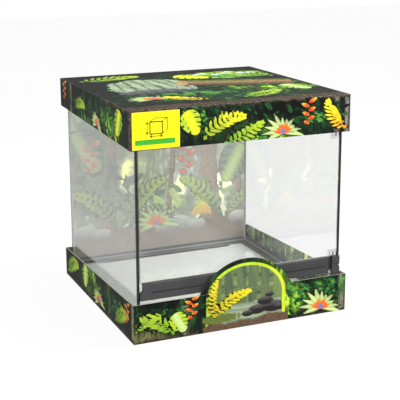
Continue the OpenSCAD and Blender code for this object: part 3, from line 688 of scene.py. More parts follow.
tall = add(g, "ShaderNodeMapping", {"Vector": place, "Scale": (1.0, 0.16, 1.0)}).outputs[0]
bark = ramp(g, noise(g, tall, 170.0, 5.0, 0.65), 0.34, 0.66, 0.3, 1.75)
crumb = add(g, "ShaderNodeTexVoronoi", {"Vector": given["Place"], "Scale": 260.0}, feature="F1")
crumb = add(g, "ShaderNodeSeparateColor", {0: crumb.outputs["Color"]}).outputs[1]
crumb = ramp(g, crumb, 0.1, 0.95, 0.3, 1.8)

factor = 0.0
for pattern, kind in ((leafy, "X"), (bark, "Y"), (crumb, "Z")):
    factor = sums(g, "ADD", product(g, sums(g, "SUBTRACT", pattern, 1.0), kinds[kind]), factor)
factor = sums(g, "ADD", product(g, factor, given["Leaf contrast"]), 1.0)
factor = sums(g, "MAXIMUM", factor, 0.05)
colour = mixed(g, 1.0, given["Ground"], grey(g, factor), "MULTIPLY")

print("ink group: ground textures")

# %% [markdown]
# The brightest leaves are tinted by yellow light. The shapes are then cut where their stored
# distance passes zero. Folds lose their ink in specks, which shows the board's pale core.

# %% Ink and wear
warm = mixed(g, 1.0, colour, (1.7, 1.2, 0.5, 1), "MULTIPLY")
colour = mixed(g, product(g, ramp(g, factor, 1.2, 2.6), 0.5), colour, warm)

grain = noise(g, given["Place"], 420.0)
for layer in range(LAYERS):
    colour = mixed(g, ramp(g, edges[layer], 0.35, -0.35), colour, given[f"Ink {layer + 1}"])
colour = mixed(g, 1.0, colour, grey(g, ramp(g, grain, 0.3, 0.7, 0.9, 1.08)), "MULTIPLY")
colour = mixed(g, given["Wash"], colour, given["Veil"])

chips = sums(g, "ADD", noise(g, given["Place"], 520.0, 3.0, 0.7), product(g, given["Fold wear"], 0.42))
colour = mixed(g, ramp(g, chips, 0.86, 0.96), colour, ink(196, 192, 180))
feed(g, result, {"Color": colour, "Height": grain, "Roughness": ramp(g, grain, 0.3, 0.7, 0.44, 0.58)})


def printed_material(name, wash=0.0, contrast=1.0, leaf_scale=1.0, relief=0.05 * MM):
    """Printed card whose layers come from the piece's own painted attributes."""
    material, tree, shader = new_material(name, Specular_IOR_Level=0.25)
    values = {"Place": add(tree, "ShaderNodeUVMap", uv_map="print_place").outputs[0], "Wash": wash,
              "Leaf contrast": contrast, "Leaf scale": leaf_scale}
    for socket, output in (("Ground", "Color"), ("Kind", "Vector"), ("Edges", "Vector"),
                           ("Ink 1", "Color"), ("Ink 2", "Color"), ("Ink 3", "Color")):
        stored = "print_" + socket.lower().replace(" ", "_")
        layer = add(tree, "ShaderNodeAttribute", attribute_name=stored).outputs
        values[socket] = layer[output]
        if socket == "Ground":
            values["Fold wear"] = layer["Alpha"]
    out = add(tree, "ShaderNodeGroup", values, node_tree=card_ink).outputs
    feed(tree, shader, {"Base Color": out["Color"], "Roughness": out["Roughness"]})
    bump(tree, shader, out["Height"], relief)
    return material


print("card ink group:", len(card_ink.nodes), "nodes")

# %% [markdown]
# ## Painting a piece
# Every face corner of a piece lies on one panel of the print. `s` runs from left to right as one
# faces the panel from outside, and `h` runs up. Corners near a fold also get some wear.

# %% Panels and folds
PANEL_SHIFT = {"top": 0.0, "front": 1.3, "right": 2.6, "rear": 3.9, "left": 5.2, "rim": 6.5}  # metres apart
FOLD_REACH = 2.5 * MM
UPRIGHT = 0.6  # a face whose normal rises less than this stands


def panel_coordinates(points, normals):
    """Which panel each face corner is on, and where, in mm. Inner faces take the panel outside them."""
    panel = np.full(len(points), "top", dtype=object)
    upright = np.abs(normals[:, 2]) < UPRIGHT
    side = upright & (np.abs(normals[:, 0]) >= np.abs(normals[:, 1]))
    s, h = points[:, 0].copy(), points[:, 1].copy()
    for name, faces, outward, axis, sign in (
            ("right", side, 0, 1, 1), ("left", side, 0, 1, -1),
            ("front", upright & ~side, 1, 0, 1), ("rear", upright & ~side, 1, 0, -1)):
        here = faces & (points[:, outward] * (1 if name in ("right", "rear") else -1) > 0)
        panel[here] = name
        s[here] = sign * points[here, axis]
        h[here] = points[here, 2]
    return panel, s / MM, h / MM


def fold_wear(points, low, high, open_side=0):
    """1 on a box's edges and 0 away from them, for points on its faces. An open rim has no fold."""
    below, above = points - np.array(low), np.array(high) - points
    if open_side > 0:
        above[:, 2] = below[:, 2]
    if open_side < 0:
        below[:, 2] = above[:, 2]
    gaps = np.sort(np.abs(np.minimum(below, above)), axis=1)
    return np.clip(1 - gaps[:, 1] / FOLD_REACH, 0, 1)


print("panels:", len(PANEL_SHIFT))

# %% [markdown]
# The painter asks each panel's art for its canvas, at the corners that lie on it. It then stores the
# canvas layer by layer on the mesh, with a flat map that keeps the panels' textures apart.

# %% Painter
def read(items, field, width, kind=float):
    """One property of every item of a mesh, as rows of that width."""
    values = np.zeros(width * len(items), dtype=kind)
    items.foreach_get(field, values)
    return values.reshape(-1, width) if width > 1 else values


def paint(piece, art, rim_z=None, worn=True):
    """Stores a print's layers on a mesh. art is {panel: function of s and h that returns a Canvas}.
    Flat faces beyond rim_z, on the side of the open edge, are the board's raw edge."""
    mesh = piece.data
    count = len(mesh.loops)
    points = read(mesh.vertices, "co", 3)[read(mesh.loops, "vertex_index", 1, np.int64)]
    corners = read(mesh.polygons, "loop_total", 1, np.int64)
    normals = np.repeat(read(mesh.polygons, "normal", 3), corners, axis=0)
    panel, s, h = panel_coordinates(points, normals)
    if rim_z is not None:
        side, height = rim_z
        panel[(panel == "top") & (side * (points[:, 2] - height) > 0)] = "rim"
    ground, kind, edges = np.zeros((count, 4)), np.zeros((count, 3)), np.zeros((count, LAYERS))
    ground[:, 3] = worn * fold_wear(points, points.min(axis=0), points.max(axis=0), rim_z[0] if rim_z else 0)
    inks = [np.zeros((count, 4)) for _ in range(LAYERS)]
    place = np.zeros((count, 2))
    for name in sorted(set(panel)):
        here = panel == name
        canvas = art[name](s[here], h[here])
        ground[here, :3], kind[here], edges[here] = canvas.ground, canvas.kind, canvas.edges
        for layer in range(LAYERS):
            inks[layer][here, :3] = canvas.inks[layer]
        place[here, 0] = s[here] * MM + PANEL_SHIFT[name]
        place[here, 1] = h[here] * MM
    stored = [("print_ground", "COLOR", ground), ("print_kind", "VECTOR", kind),
              ("print_edges", "VECTOR", edges)]
    stored += [(f"print_ink_{i + 1}", "COLOR", inks[i]) for i in range(LAYERS)]
    for name, data, values in stored:
        attribute = mesh.attributes.new(name, "FLOAT_" + data, "CORNER")
        attribute.data.foreach_set(data.lower(), values.astype(np.float32).ravel())
    for layer in list(mesh.uv_layers):
        mesh.uv_layers.remove(layer)
    mesh.uv_layers.new(name="print_place").data.foreach_set("uv", place.astype(np.float32).ravel())
    print(piece.name, "painted:", count, "corners on", len(set(panel)), "panels")

# %% [markdown]
# ## The header's picture
# The round header rises from the tray's front wall, and its picture runs on down the wall, so both
# use one function. A dark green border holds a lime ring, then a misty pool with moss and soil at
# its foot. Two yellow fern fronds rise at its left, and dark pebbles lie at its right.

# %% Header picture
HEADER_RADII = (100.0, 80.6)  # mm, of the border's outline
STALKS = 7
FRONDS = ((100, 80, -34), (52, 96, -44))  # turn in degrees, length, bend
PEBBLES = (  # s, h, half width in mm
    (30, 34, 20), (66, 36, 24), (48, 50, 18), (84, 32, 14), (8, 28, 13), (58, 62, 10))


def header_picture(canvas, middle):
    """Paints the header's picture over a canvas in the front wall's coordinates."""
    s, h = canvas.s, canvas.h
    outline = oval(s, np.where(h < middle[1], middle[1], h), middle, HEADER_RADII)
    right = np.clip((s - 30) / 60, 0, 1)
    canvas.wash(step(outline - 1, 1.0), DARK_GREEN, LEAFY)
    canvas.wash(step(outline - 1, 1.0) * right * 0.8, BRIGHT_GREEN)
    canvas.stamp(0, outline + 9, LIME, ink(206, 220, 40), right)
    panel = outline + 15
    mist = 0.3 + 0.35 * ripple(s + 0.2 * h, 46, 1.0) + 0.5 * right
    canvas.stamp(1, panel, ink(70, 84, 68), ink(120, 140, 84), mist)
    for i in range(STALKS):
        stalk = slab(s, h, (-74 + 27 * i, 80), (5 + 2 * (i % 3), 170), turn=2 - i, corner=0.5)
        light = 0.4 + 0.5 * ripple(h, 34, i)
        canvas.stamp(1, np.maximum(panel, stalk), ink(62, 80, 50), ink(140, 156, 96), light)
    pool = np.maximum(panel, np.maximum(h - 52 - 2 * ripple(s, 70, 4), 14 - h))
    canvas.stamp(1, pool, ink(112, 126, 106), ink(164, 178, 146), 0.5 + 0.6 * ripple(h + 0.04 * s, 11, 2.0))
    soil = h - (15 + 4 * ripple(s, 60, 2.2) + 6 * np.clip((s - 10) / 60, 0, 1))
    crumbs = 0.5 + 0.7 * ripple(s + 1.7 * h, 7, 0.4) * ripple(h - s, 5, 2)
    canvas.stamp(1, np.maximum(outline + 3, soil), ink(74, 56, 44), ink(120, 92, 70), crumbs)
    moss = np.maximum(oval(s, h, (-56, 26), (44, 10)), outline + 3) + 2 * ripple(s, 9, 0.7)
    canvas.stamp(1, moss, ink(120, 134, 54), ink(70, 88, 34), 0.5 + 0.5 * ripple(s + h, 5, 2.0))
    for turn, length, bend in FRONDS:
        fern(canvas, (-68, 26), length, turn, bend, (ink(186, 164, 12), ink(226, 214, 30)), 0.2)
    for x, y, size in PEBBLES:
        pebble = np.maximum(oval(s, h, (x, y), (size, 0.52 * size)), panel)
        canvas.stamp(2, pebble, ink(34, 32, 32), ink(112, 106, 102), (h - y) / (0.8 * size) + 0.1)


print("header picture:", len(FRONDS), "fronds,", len(PEBBLES), "pebbles")

# %% [markdown]
# ## Panels of the cap and the tray
# Each wall is the same jungle: two depths of leaves, glows of light, and trunks. Motifs are then
# set on it in places that differ from wall to wall. The cap also has ragged bark along its top
# fold, which carries on from the lid, and the tray has dark soil along its foot. A few short
# motifs lay this ground.

# %% Ground motifs
WALL_HALF = 237.0  # mm, half of a wall's length


def bark_band(canvas, corner, stop, depth=7.0):
    """Ragged bark above a height, from a corner to another place along the panel."""
    s, h = canvas.s, canvas.h
    start, low = corner
    ragged = low + depth * 0.45 * ripple(s, 34, low) + 1.5 * ripple(s, 7, 1)
    inside = np.minimum(h - ragged, np.minimum(s - start, stop - s))
    canvas.wash(step(-inside, 0.8), BARK, WOODY)


def bark_end(canvas, place):
    """Bark on everything left of a place."""
    canvas.wash(step(canvas.s - place[0], 1.0), BARK, WOODY)


def soil_band(canvas, top, pitch, seed):
    """Dark soil with an uneven top."""
    canvas.wash(step(canvas.h - top[1] - 4 * ripple(canvas.s, pitch, seed), 2), ink(58, 46, 34), EARTHY)


def glow(canvas, middle, radii, colour, kind=None):
    """A soft patch of colour."""
    canvas.wash(patch(canvas.s, canvas.h, middle, radii), colour, kind)


def painted_haze(canvas, place, amount, colour):
    """An even wash over the whole panel, from its foot up: painted haze, the white that a pane in front
    reflects.
    """
    canvas.wash(amount + 0 * canvas.s, colour)


def trunk(canvas, place, width, colour):
    """A trunk that stands on the panel, with a shaded side."""
    across = (canvas.s - place) / (width / 2)
    edge = (np.abs(across) - 1) * width / 2 + 1.2 * ripple(canvas.h, 22, place)
    canvas.wash(step(edge, 1.2), colour, WOODY)
    canvas.wash(step(edge, 1.2) * np.clip(across, 0, 1) * 0.6, NIGHT)


def wall(foot, height, seed, glows, trunks, *motifs):
    """A wall's art, as a function of s and h. glows are (place along, height above the foot, radius
    across, colour), and motifs are (function, place along, height above the foot, more values)."""
    def art(s, h):
        canvas = Canvas(s, h, DARK_GREEN)
        canvas.wash(0.5 + 0.7 * ripple(s + 0.6 * h, 190, seed), NIGHT)
        for place, width, colour in trunks:
            trunk(canvas, place, width, colour)
        thicket(canvas, (0, foot + 0.45 * height), (WALL_HALF, 0.6 * height), 110, 24, SHADE, seed)
        for along, above, radius, colour in glows:
            thicket(canvas, (along, foot + above + 6), (1.5 * radius, 26), 30, 18, JUNGLE, seed + along)
            glow(canvas, (along, foot + above), (radius, 0.45 * radius), colour)
        for motif, along, above, *more in motifs:
            motif(canvas, (along, foot + above), *more)
        return canvas
    return art


print("wall painters are ready")

# %% [markdown]
# The walls themselves are lists. The front walls carry the most, because the photograph shows them
# straight on: bright plants between dark leaves, and red and yellow flowers as accents.

# %% Cap walls
CAP_FOOT, CAP_HEIGHT = 387.0, 77  # mm

CAP_WALLS = {
    "front": wall(
        CAP_FOOT, CAP_HEIGHT, 3,
        ((24, 4, 54, BRIGHT_GREEN), (4, -2, 26, LIME), (172, 30, 40, GREEN), (-110, 44, 34, GREEN)),
        ((206, 9, TRUNK), (230, 9, ink(150, 144, 134))),
        (bark_band, -240, 73, 240), (bark_end, -232, 0),
        (slit_leaf, -124, 66, 52, -62, (LIME, SUN_YELLOW)),
        (fern, -92, 4, 104, 56, -64, (GRASS, SUN_YELLOW), 0.24),
        (fern, -52, -2, 96, 8, 30, (GRASS, LIME), 0.24),
        (bromeliad, 84, 8, 52, 4), (heliconia, 142, 72, 56),
        (fern, 234, 6, 78, 150, -44, (ORANGE, SUN_YELLOW))),
    "left": wall(
        CAP_FOOT, CAP_HEIGHT, 8, ((-40, 8, 50, GREEN), (116, 30, 46, BRIGHT_GREEN), (128, 18, 24, LIME)),
        ((-150, 12, OLIVE), (229, 12, BARK)),
        (bark_band, 60, 71, 240, 9), (heliconia, -200, 74, 44), (fern, -120, 26, 70, 40, -60),
        (bromeliad, 30, 14, 40, -6), (slit_leaf, 176, 66, 56, -112)),
    "right": wall(
        CAP_FOOT, CAP_HEIGHT, 4, ((-70, 8, 60, BRIGHT_GREEN), (90, 30, 50, GREEN)),
        ((-226, 18, TRUNK), (150, 12, OLIVE)),
        (bark_band, -240, 72, 240), (bromeliad, 178, 18, 42), (fern, -160, 20, 90, 45, -60),
        (heliconia, 26, 72, 44)),
    "rear": wall(
        CAP_FOOT, CAP_HEIGHT, 9, ((40, 26, 60, BRIGHT_GREEN), (-150, 20, 44, GREEN)), ((222, 20, OLIVE),),
        (bark_band, -240, 72, 240), (slit_leaf, -190, 70, 52, -70), (fern, -40, 22, 88, 50, -70),
        (bromeliad, 130, 24, 42)),
}
print("cap walls:", len(CAP_WALLS))

# %% [markdown]
# The tray's front carries the header's picture, so its own plants keep to the sides. Its right wall
# is washed pale and has brighter leaves: painted haze, for the white that the panes in front of it reflect.

# %% Tray walls
TRAY_HEIGHT, TRAY_REAR_HEIGHT = 81, 66  # mm

TRAY_WALLS = {
    "front": wall(
        0, TRAY_HEIGHT, 5,
        ((126, 40, 46, BRIGHT_GREEN), (120, 60, 22, LIME), (206, 50, 44, GREEN), (-170, 40, 60, GREEN)),
        ((-128, 14, TRUNK), (228, 14, TRUNK)),
        (glow, -215, 8, (50, 24), OLIVE, WOODY), (soil_band, 0, 6, 50, 2), (heliconia, -114, 80, 50),
        (fern, -150, 6, 84, 128, 44), (fern, -236, 20, 62, 58, -60),
        (slit_leaf, -152, 50, 46, -60, (LIME, PALE_LEAF)), (header_picture, 5.3, 65.0),
        (bromeliad, 178, 12, 58, -4)),
    "left": wall(
        0, TRAY_HEIGHT, 7, ((-40, 40, 54, BRIGHT_GREEN), (-52, 60, 26, LIME), (130, 30, 40, GREEN)),
        ((84, 14, OLIVE), (229, 12, TRUNK)),
        (soil_band, 0, 7, 56, 1), (fern, -222, 6, 96, 50, -50),
        (slit_leaf, -76, 66, 52, -100, (LIME, PALE_LEAF)), (bromeliad, 14, 14, 44, 8),
        (fern, 118, 8, 90, 44, -40), (heliconia, 196, 74, 46)),
    # The right wall's pale wash and bright leaves are painted haze, for the panes' white reflection.
    "right": wall(
        0, TRAY_HEIGHT, 6, ((10, 50, 110, BRIGHT_GREEN), (-130, 40, 70, PALE_LEAF), (140, 44, 70, GREEN)),
        ((206, 26, TRUNK), (-228, 16, OLIVE)),
        (thicket, 0, 52, (230, 26), 70, 24, JUNGLE[2:], 11), (painted_haze, 0, 0, 0.55, PALE_LEAF),
        (fern, -60, 8, 92, 46, -50), (slit_leaf, 150, 64, 48, -100), (bromeliad, -150, 14, 50)),
    "rear": wall(
        0, TRAY_REAR_HEIGHT, 10, ((-60, 30, 60, BRIGHT_GREEN), (150, 20, 40, GREEN)), ((226, 20, OLIVE),),
        (fern, -150, 6, 80, 46, -50), (bromeliad, 60, 10, 44), (slit_leaf, 180, 56, 40, -100)),
}


def tray_floor(s, h):
    canvas = Canvas(s, h, GREEN)
    canvas.wash(0.5 + 0.5 * ripple(s + h, 90, 1), DARK_GREEN)
    return canvas


print("tray walls:", len(TRAY_WALLS))

# %% [markdown]
# The cap's lid is the largest print: a misty clearing on the left, a mossy fallen log across the
# right, sunlit plants behind it, and shade at the rear. The bark runs along its front fold.

# %% Log and clearing
def lid_log(canvas, middle, length, width, turn):
    """A fallen log with streaked bark, a pale sawn end and moss on its upper side."""
    x, y = turned(canvas.s, canvas.h, middle, turn)
    side = slab(x, y, (0, 0), (length, width), corner=12) + 3 * ripple(x, 60, 1) + 1.2 * ripple(x, 13, 2)
    streaks = 0.5 + 0.6 * ripple(y + 2 * ripple(x, 90, 1), 9, 1) - 1.1 * y / width
    canvas.stamp(0, side - 2, NIGHT)
    canvas.stamp(1, side, ink(186, 146, 96), ink(70, 48, 32), streaks)
    moss = np.maximum(side, 0.24 * width - y + 5 * ripple(x, 44, 3) + 2 * ripple(x, 11, 1))
    canvas.stamp(1, moss, ink(112, 132, 44), ink(52, 76, 26), 0.5 + 0.6 * ripple(x + y, 6, 2))
    end = oval(x, y, (-length / 2 + 4, 0), (13, 0.46 * width))
    canvas.stamp(1, end, ink(206, 176, 128), ink(150, 112, 70), 0.5 + 0.5 * np.sin(1.3 * end))


def misty_clearing(canvas):
    """A pale clearing with thin stems and a slab of slate at its foot."""
    s, h = canvas.s, canvas.h
    clearing = oval(s, h, (-92, 30), (96, 100)) + 9 * ripple(s + 0.5 * h, 74, 2) + 4 * ripple(h, 27, 1)
    canvas.stamp(0, clearing - 4, ink(40, 84, 44), ink(20, 52, 26), 0.5 + 0.5 * ripple(s, 21, 1))
    mist = 0.45 + 0.5 * ripple(s + 0.3 * h, 52, 5)
    canvas.stamp(1, clearing, ink(178, 202, 166), ink(110, 140, 104), mist)
    for i in range(6):
        stem = slab(s, h, (-160 + 26 * i, 60), (5 + 3 * (i % 2), 150), turn=3 * i - 8, corner=1)
        canvas.stamp(1, np.maximum(stem, clearing + 3), ink(112, 98, 82), ink(70, 62, 52), ripple(h, 31, i))
    slate = np.maximum(oval(s, h, (-108, -44), (82, 34)) + 4 * ripple(s, 40, 2), -(s + 210))
    canvas.stamp(1, slate, ink(104, 106, 108), ink(52, 54, 56), 0.5 - (h + 44) / 50 + 0.3 * ripple(s, 23, 1))


print("the log and the clearing are ready")

# %% [markdown]
# The lid's leaves go from dark to light and from far to near, and the flowers and the bark along
# its front edge lie on top.

# %% Lid
def cap_top(s, h):
    canvas = Canvas(s, h, ink(10, 36, 15))
    canvas.wash(0.5 + 0.7 * ripple(s - 0.7 * h, 260, 2), NIGHT)
    thicket(canvas, (0, 0), (WALL_HALF, WALL_HALF), 190, 40, SHADE, 1)
    canvas.wash(step(168 - h + 6 * ripple(s, 90, 1), 12) * 0.85, NIGHT)
    misty_clearing(canvas)
    thicket(canvas, (-60, -104), (150, 34), 70, 36, JUNGLE, 4)
    glow(canvas, (20, -150), (130, 26), ink(36, 118, 46))
    meadow = oval(s, h, (126, 128), (96, 52)) + 8 * ripple(s + h, 60, 3)
    canvas.stamp(0, meadow, BRIGHT_GREEN, LIME, ripple(s, 70, 1))
    thicket(canvas, (140, 100), (90, 50), 50, 36, JUNGLE, 2)
    canvas.wash(patch(s, h, (150, -70), (70, 60)) * 0.9, ink(120, 180, 50))
    lid_log(canvas, (98, 14), 250, 74, -17)
    bromeliad(canvas, (-150, -130), 62, tilt=6)
    slit_leaf(canvas, (8, 150), 84, -40, (LIME, SUN_YELLOW))
    slit_leaf(canvas, (176, -60), 78, -70, (BRIGHT_GREEN, PALE_LEAF))
    fern(canvas, (-226, 150), 150, 20, -16)
    fern(canvas, (222, 60), 140, 118, 40)
    fern(canvas, (20, -172), 120, 14, 26)
    fern(canvas, (-40, -168), 96, 160, -40, (ink(206, 160, 16), SUN_YELLOW))
    for i in range(7):
        middle = (60 + 22 * i, 150 + 14 * math.sin(2 * i))
        blossom(canvas, middle, 13, 8, 25 * i, (ink(238, 242, 244), ink(150, 190, 214)))
    bark = h + 199 + 6 * ripple(s, 46, 3)
    canvas.wash(step(bark, 1.5), BARK, WOODY)
    canvas.edges = np.maximum(canvas.edges, -bark[:, None])
    canvas.wash(step(h + 222 + 4 * ripple(s, 30, 5), 2) * 0.5, ink(38, 28, 22))
    return canvas


print("the lid's art is ready")

# %% [markdown]
# ## Folded card boxes
# The cap and the tray are both boxes without one side, folded from 2 mm board. A cube gets its open
# side deleted and its walls cut into a fine grid for the print. Its folds are rounded a little, and
# the rim is extruded inwards and back along the inside, which closes the board's thickness.

# %% Folded card boxes
CARD = 2.0 * MM
PRINT_STEP = 2.4 * MM
FOLD = 0.9 * MM
TOUCH = 1e-6  # m, how near a point is to a face that it lies on
CLEAR_OF_RIM = 0.02  # m from the closed side, short of the open rim


def folded_box(name, node, art, wall_front, wall_rear, inwards):
    """A card box in place of a CAD node. inwards is 1 if it stands open at its top, -1 if upside down."""
    low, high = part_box(node)
    piece = block(name, low, high)
    closed_z, open_z = (low.z, high.z) if inwards > 0 else (high.z, low.z)
    editing(piece, "FACE")
    pick(piece, "FACE", lambda face: abs(face.center.z - open_z) < MM)
    bpy.ops.mesh.delete(type="FACE")
    bpy.ops.object.mode_set(mode="OBJECT")
    for axis in range(3):
        grid_lines(piece, axis, PRINT_STEP)

    # The side walls slope, so each row of points is drawn towards the closed side
    for vertex in piece.data.vertices:
        back = (vertex.co.y - low.y) / (high.y - low.y)
        share = 1 + (wall_rear / wall_front - 1) * back
        vertex.co.z = closed_z + (vertex.co.z - closed_z) * share

    def sides(point):
        """The outer faces that a point lies on."""
        walls = {axis for axis in (0, 1) if abs(abs(point[axis]) - high[axis]) < TOUCH}
        return walls | ({"closed"} if abs(point.z - closed_z) < TOUCH else set())

    def is_fold(edge):
        first, second = edge_line(piece, edge)
        return len(sides(first) & sides(second)) >= 2

    editing(piece, "EDGE")
    pick(piece, "EDGE", is_fold)
    bpy.ops.mesh.bevel(offset=FOLD, segments=2, affect="EDGES")
    bpy.ops.mesh.select_all(action="DESELECT")
    bpy.ops.mesh.select_non_manifold(
        extend=False, use_wire=False, use_multi_face=False, use_non_contiguous=False, use_verts=False)
    inner = ((high.x - CARD) / high.x, (high.y - CARD) / high.y, 1)
    bpy.ops.mesh.extrude_region_move()
    bpy.ops.transform.resize(value=inner, center_override=(0, 0, open_z))
    bpy.ops.mesh.extrude_region_move()
    bpy.ops.transform.resize(value=(1, 1, 0), center_override=(0, 0, closed_z + inwards * CARD))
    bpy.ops.mesh.edge_face_add()
    bpy.ops.mesh.select_all(action="SELECT")
    bpy.ops.mesh.normals_make_consistent(inside=False)
    bpy.ops.object.mode_set(mode="OBJECT")
    smooth_by_angle(piece, 50)
    paint(piece, {**art, "rim": raw_board}, (inwards, closed_z + inwards * CLEAR_OF_RIM))
    fit_out(piece, node, printed_card)
    return piece


def raw_board(s, h):
    """The board's cut edge, grey and unprinted, but inked where the header stands on it."""
    canvas = Canvas(s, h, ink(176, 172, 160), PLAIN)
    canvas.wash(step(np.maximum(np.abs(s - 5) - 104, h), 1), ink(92, 112, 70))
    return canvas


printed_card = printed_material("printed_card")
cap_box = folded_box("cap_box", "packaging_cap", {"top": cap_top, **CAP_WALLS}, CAP_HEIGHT, 62, -1)
tray_box = folded_box("tray_box", "packaging_tray", {"top": tray_floor, **TRAY_WALLS}, TRAY_HEIGHT, 64, 1)
print("cap faces:", len(cap_box.data.polygons), "tray faces:", len(tray_box.data.polygons))

# %% [markdown]
# ## Printed strip in the hand slot
# A thin strip of the same card stands in the gap behind the foam's hand slot. Through the base pane
# it shows as a narrow green line. It has no node of its own, so it rides on the tray's body.

# %% Slot card
SLOT_HALF = 166 * MM
GREEN_PLACE, GREEN_HALF = 152, 9  # mm, the part of the strip that is green


def slot_print(s, h):
    canvas = Canvas(s, h, ink(20, 150, 56))
    canvas.wash(0.5 + 0.8 * ripple(s, 37, 2), ink(110, 210, 60))
    canvas.wash(step(GREEN_HALF - np.abs(s - GREEN_PLACE), 2), NIGHT)
    return canvas


foam_low, foam_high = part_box("foam_pad")
slot_card = block("slot_card", Vector((-SLOT_HALF, foam_high.y + 0.3 * MM, foam_low.z + MM)),
                  Vector((SLOT_HALF, foam_high.y + 0.7 * MM, foam_high.z - 0.3 * MM)))
grid_lines(slot_card, 0, PRINT_STEP)
paint(slot_card, dict.fromkeys(PANEL_SHIFT, slot_print), worn=False)
slot_card.data.materials.append(printed_card)
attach(slot_card, "tray")
print("slot card faces:", len(slot_card.data.polygons))

# %% [markdown]
# ## The round header
# The header's outline comes from the CAD node. Cutting it by a row of planes each way lays the
# painting grid over it without touching the outline. It folds down as the door swings over it.

# %% Round header
HEADER_STEP = 2.0 * MM


def sliced(piece, axis, low, high, step_size):
    """Cuts a closed piece by planes across an axis, without removing anything."""
    editing(piece, "VERT")
    normal = [0.0, 0.0, 0.0]
    normal[axis] = 1.0
    count = int((high - low) / step_size)
    for i in range(1, count):
        point = [0.0, 0.0, 0.0]
        point[axis] = low + (high - low) * i / count
        bpy.ops.mesh.select_all(action="SELECT")
        bpy.ops.mesh.bisect(plane_co=point, plane_no=normal)
    bpy.ops.object.mode_set(mode="OBJECT")


header_low, header_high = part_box("display_header")
header = eased_copy("display_header", "round_header", 0.15 * MM, segments=1)
sliced(header, 0, header_low.x, header_high.x, HEADER_STEP)
sliced(header, 2, header_low.z, header_high.z, HEADER_STEP)
paint(header, {"top": TRAY_WALLS["front"], **TRAY_WALLS})
fit_out(header, "display_header", printed_card)
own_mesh(header)
print("header faces:", len(header.data.polygons))

# %% [markdown]
# ## The print behind the rear pane
# A thin card stands behind the rear pane, with its picture facing the tank. It is printed pale, so
# it reads through the glass as a misty backdrop: soil and stones at the foot, ferns, trunks with
# light between them, and blossoms on a bough.

# %% Rear print
PALE_JUNGLE = (ink(46, 74, 40), ink(78, 118, 56), ink(118, 160, 74), ink(170, 206, 100), ink(226, 236, 140))
PALE_SHADE = (ink(40, 52, 40), ink(66, 86, 62), ink(102, 126, 90), ink(150, 174, 128))
REAR_TRUNKS = ((126, 44, -0.04), (-124, 24, 0.05), (24, 16, 0.08), (200, 24, 0.02))  # s, width, lean
STONES = (  # s, h, half width in mm
    (-190, 96, 30), (-148, 88, 22), (6, 88, 26), (44, 94, 34), (92, 86, 24), (206, 92, 30))
REAR_FERNS = (  # s, h, length, turn in degrees, bend
    (-96, 98, 150, 70, -50), (-84, 98, 116, 34, -40), (-108, 98, 140, 118, 46),
    (158, 94, 150, 112, 46), (166, 94, 110, 58, -46))
BLOSSOMS = 8
REAR_STEP = 2.6 * MM


def rear_woods(canvas):
    """Mist with light between trunks, a bough, and bushes."""
    s, h = canvas.s, canvas.h
    canvas.wash(step(250 - h, 140) * 0.7, ink(204, 218, 186))
    canvas.wash(step(60 - s, 80) * 0.4, ink(228, 236, 210))
    canvas.wash(patch(s, h, (-60, 300), (90, 130)), ink(206, 226, 140))
    canvas.wash(patch(s, h, (64, 240), (70, 120)) * 0.9, ink(214, 226, 204))
    canvas.wash(patch(s, h, (-196, 240), (40, 150)) * 0.8, ink(104, 112, 96))
    thicket(canvas, (150, 350), (90, 70), 60, 54, PALE_SHADE, 3)
    thicket(canvas, (-150, 372), (100, 50), 50, 50, PALE_JUNGLE, 5)
    for place, width, lean in REAR_TRUNKS:
        across = (s - place - lean * (h - 200)) / (width / 2)
        flare = 9 * np.clip((150 - h) / 60, 0, 1)
        edge = (np.abs(across) - 1) * width / 2 + 2.5 * ripple(h, 60, place) - flare
        streak = 0.4 + 0.3 * across + 0.6 * ripple(s + 2 * ripple(h, 70, 1), 8, 1)
        canvas.stamp(0, edge, ink(172, 132, 90), ink(66, 48, 36), streak)
    bough = np.abs(h - 330 - 22 * np.sin(s / 52)) - 5 + 0.02 * (s + 60)
    bough = np.maximum(bough, np.maximum(-(s + 60), s - 120))
    canvas.stamp(0, bough, ink(96, 66, 46), ink(168, 132, 100), 0.5 + (h - 330) / 20)
    thicket(canvas, (-150, 180), (80, 60), 44, 56, PALE_SHADE, 9)
    thicket(canvas, (60, 146), (160, 30), 50, 40, PALE_JUNGLE, 2)


def rear_picture(s, h):
    canvas = Canvas(s, h, ink(168, 182, 150))
    rear_woods(canvas)
    soil_top = 96 + 8 * ripple(s, 90, 1) + 3 * ripple(s, 17, 2)
    crumbs = 0.5 + 0.9 * ripple(s + 2 * h, 13, 1) * ripple(h - s, 11, 2)
    canvas.stamp(1, h - soil_top, ink(146, 110, 80), ink(60, 44, 34), crumbs)
    for x, y, size in STONES:
        edge = oval(s, h, (x, y), (size, 0.55 * size)) + 1.5 * ripple(s, 1.3 * size, x)
        canvas.stamp(1, edge, ink(96, 96, 94), ink(214, 214, 206), 0.5 + (h - y) / size)
    for x, y, *shape in REAR_FERNS:
        fern(canvas, (x, y), *shape, (ink(58, 104, 34), ink(190, 214, 70)), 0.22)
    for stalk, size, turn in (((-210, 330), 110, -58), ((214, 270), 100, -120)):
        slit_leaf(canvas, stalk, size, turn, (ink(62, 110, 50), ink(190, 214, 96)))
    for i in range(BLOSSOMS):
        middle = (-46 + 20 * i, 322 + 26 * math.sin(1.7 * i))
        blossom(canvas, middle, 15, 9, 20 * i, (ink(246, 246, 244), ink(170, 180, 196)))
        canvas.stamp(2, oval(s, h, middle, (4, 4)), ink(240, 190, 30))
    bromeliad(canvas, (-14, 96), 66, tilt=4)
    heliconia(canvas, (64, 300), 96)
    heliconia(canvas, (-172, 310), 80)
    for i in range(5):
        edge = leaf(s, h, (74 + 14 * i, 104), 40, 11, 56 + 15 * i)
        canvas.stamp(2, edge, ink(236, 170, 20), ink(250, 226, 60), (h - 104) / 36)
    return canvas


def plain_board(s, h):
    return Canvas(s, h, ink(190, 186, 176), PLAIN)


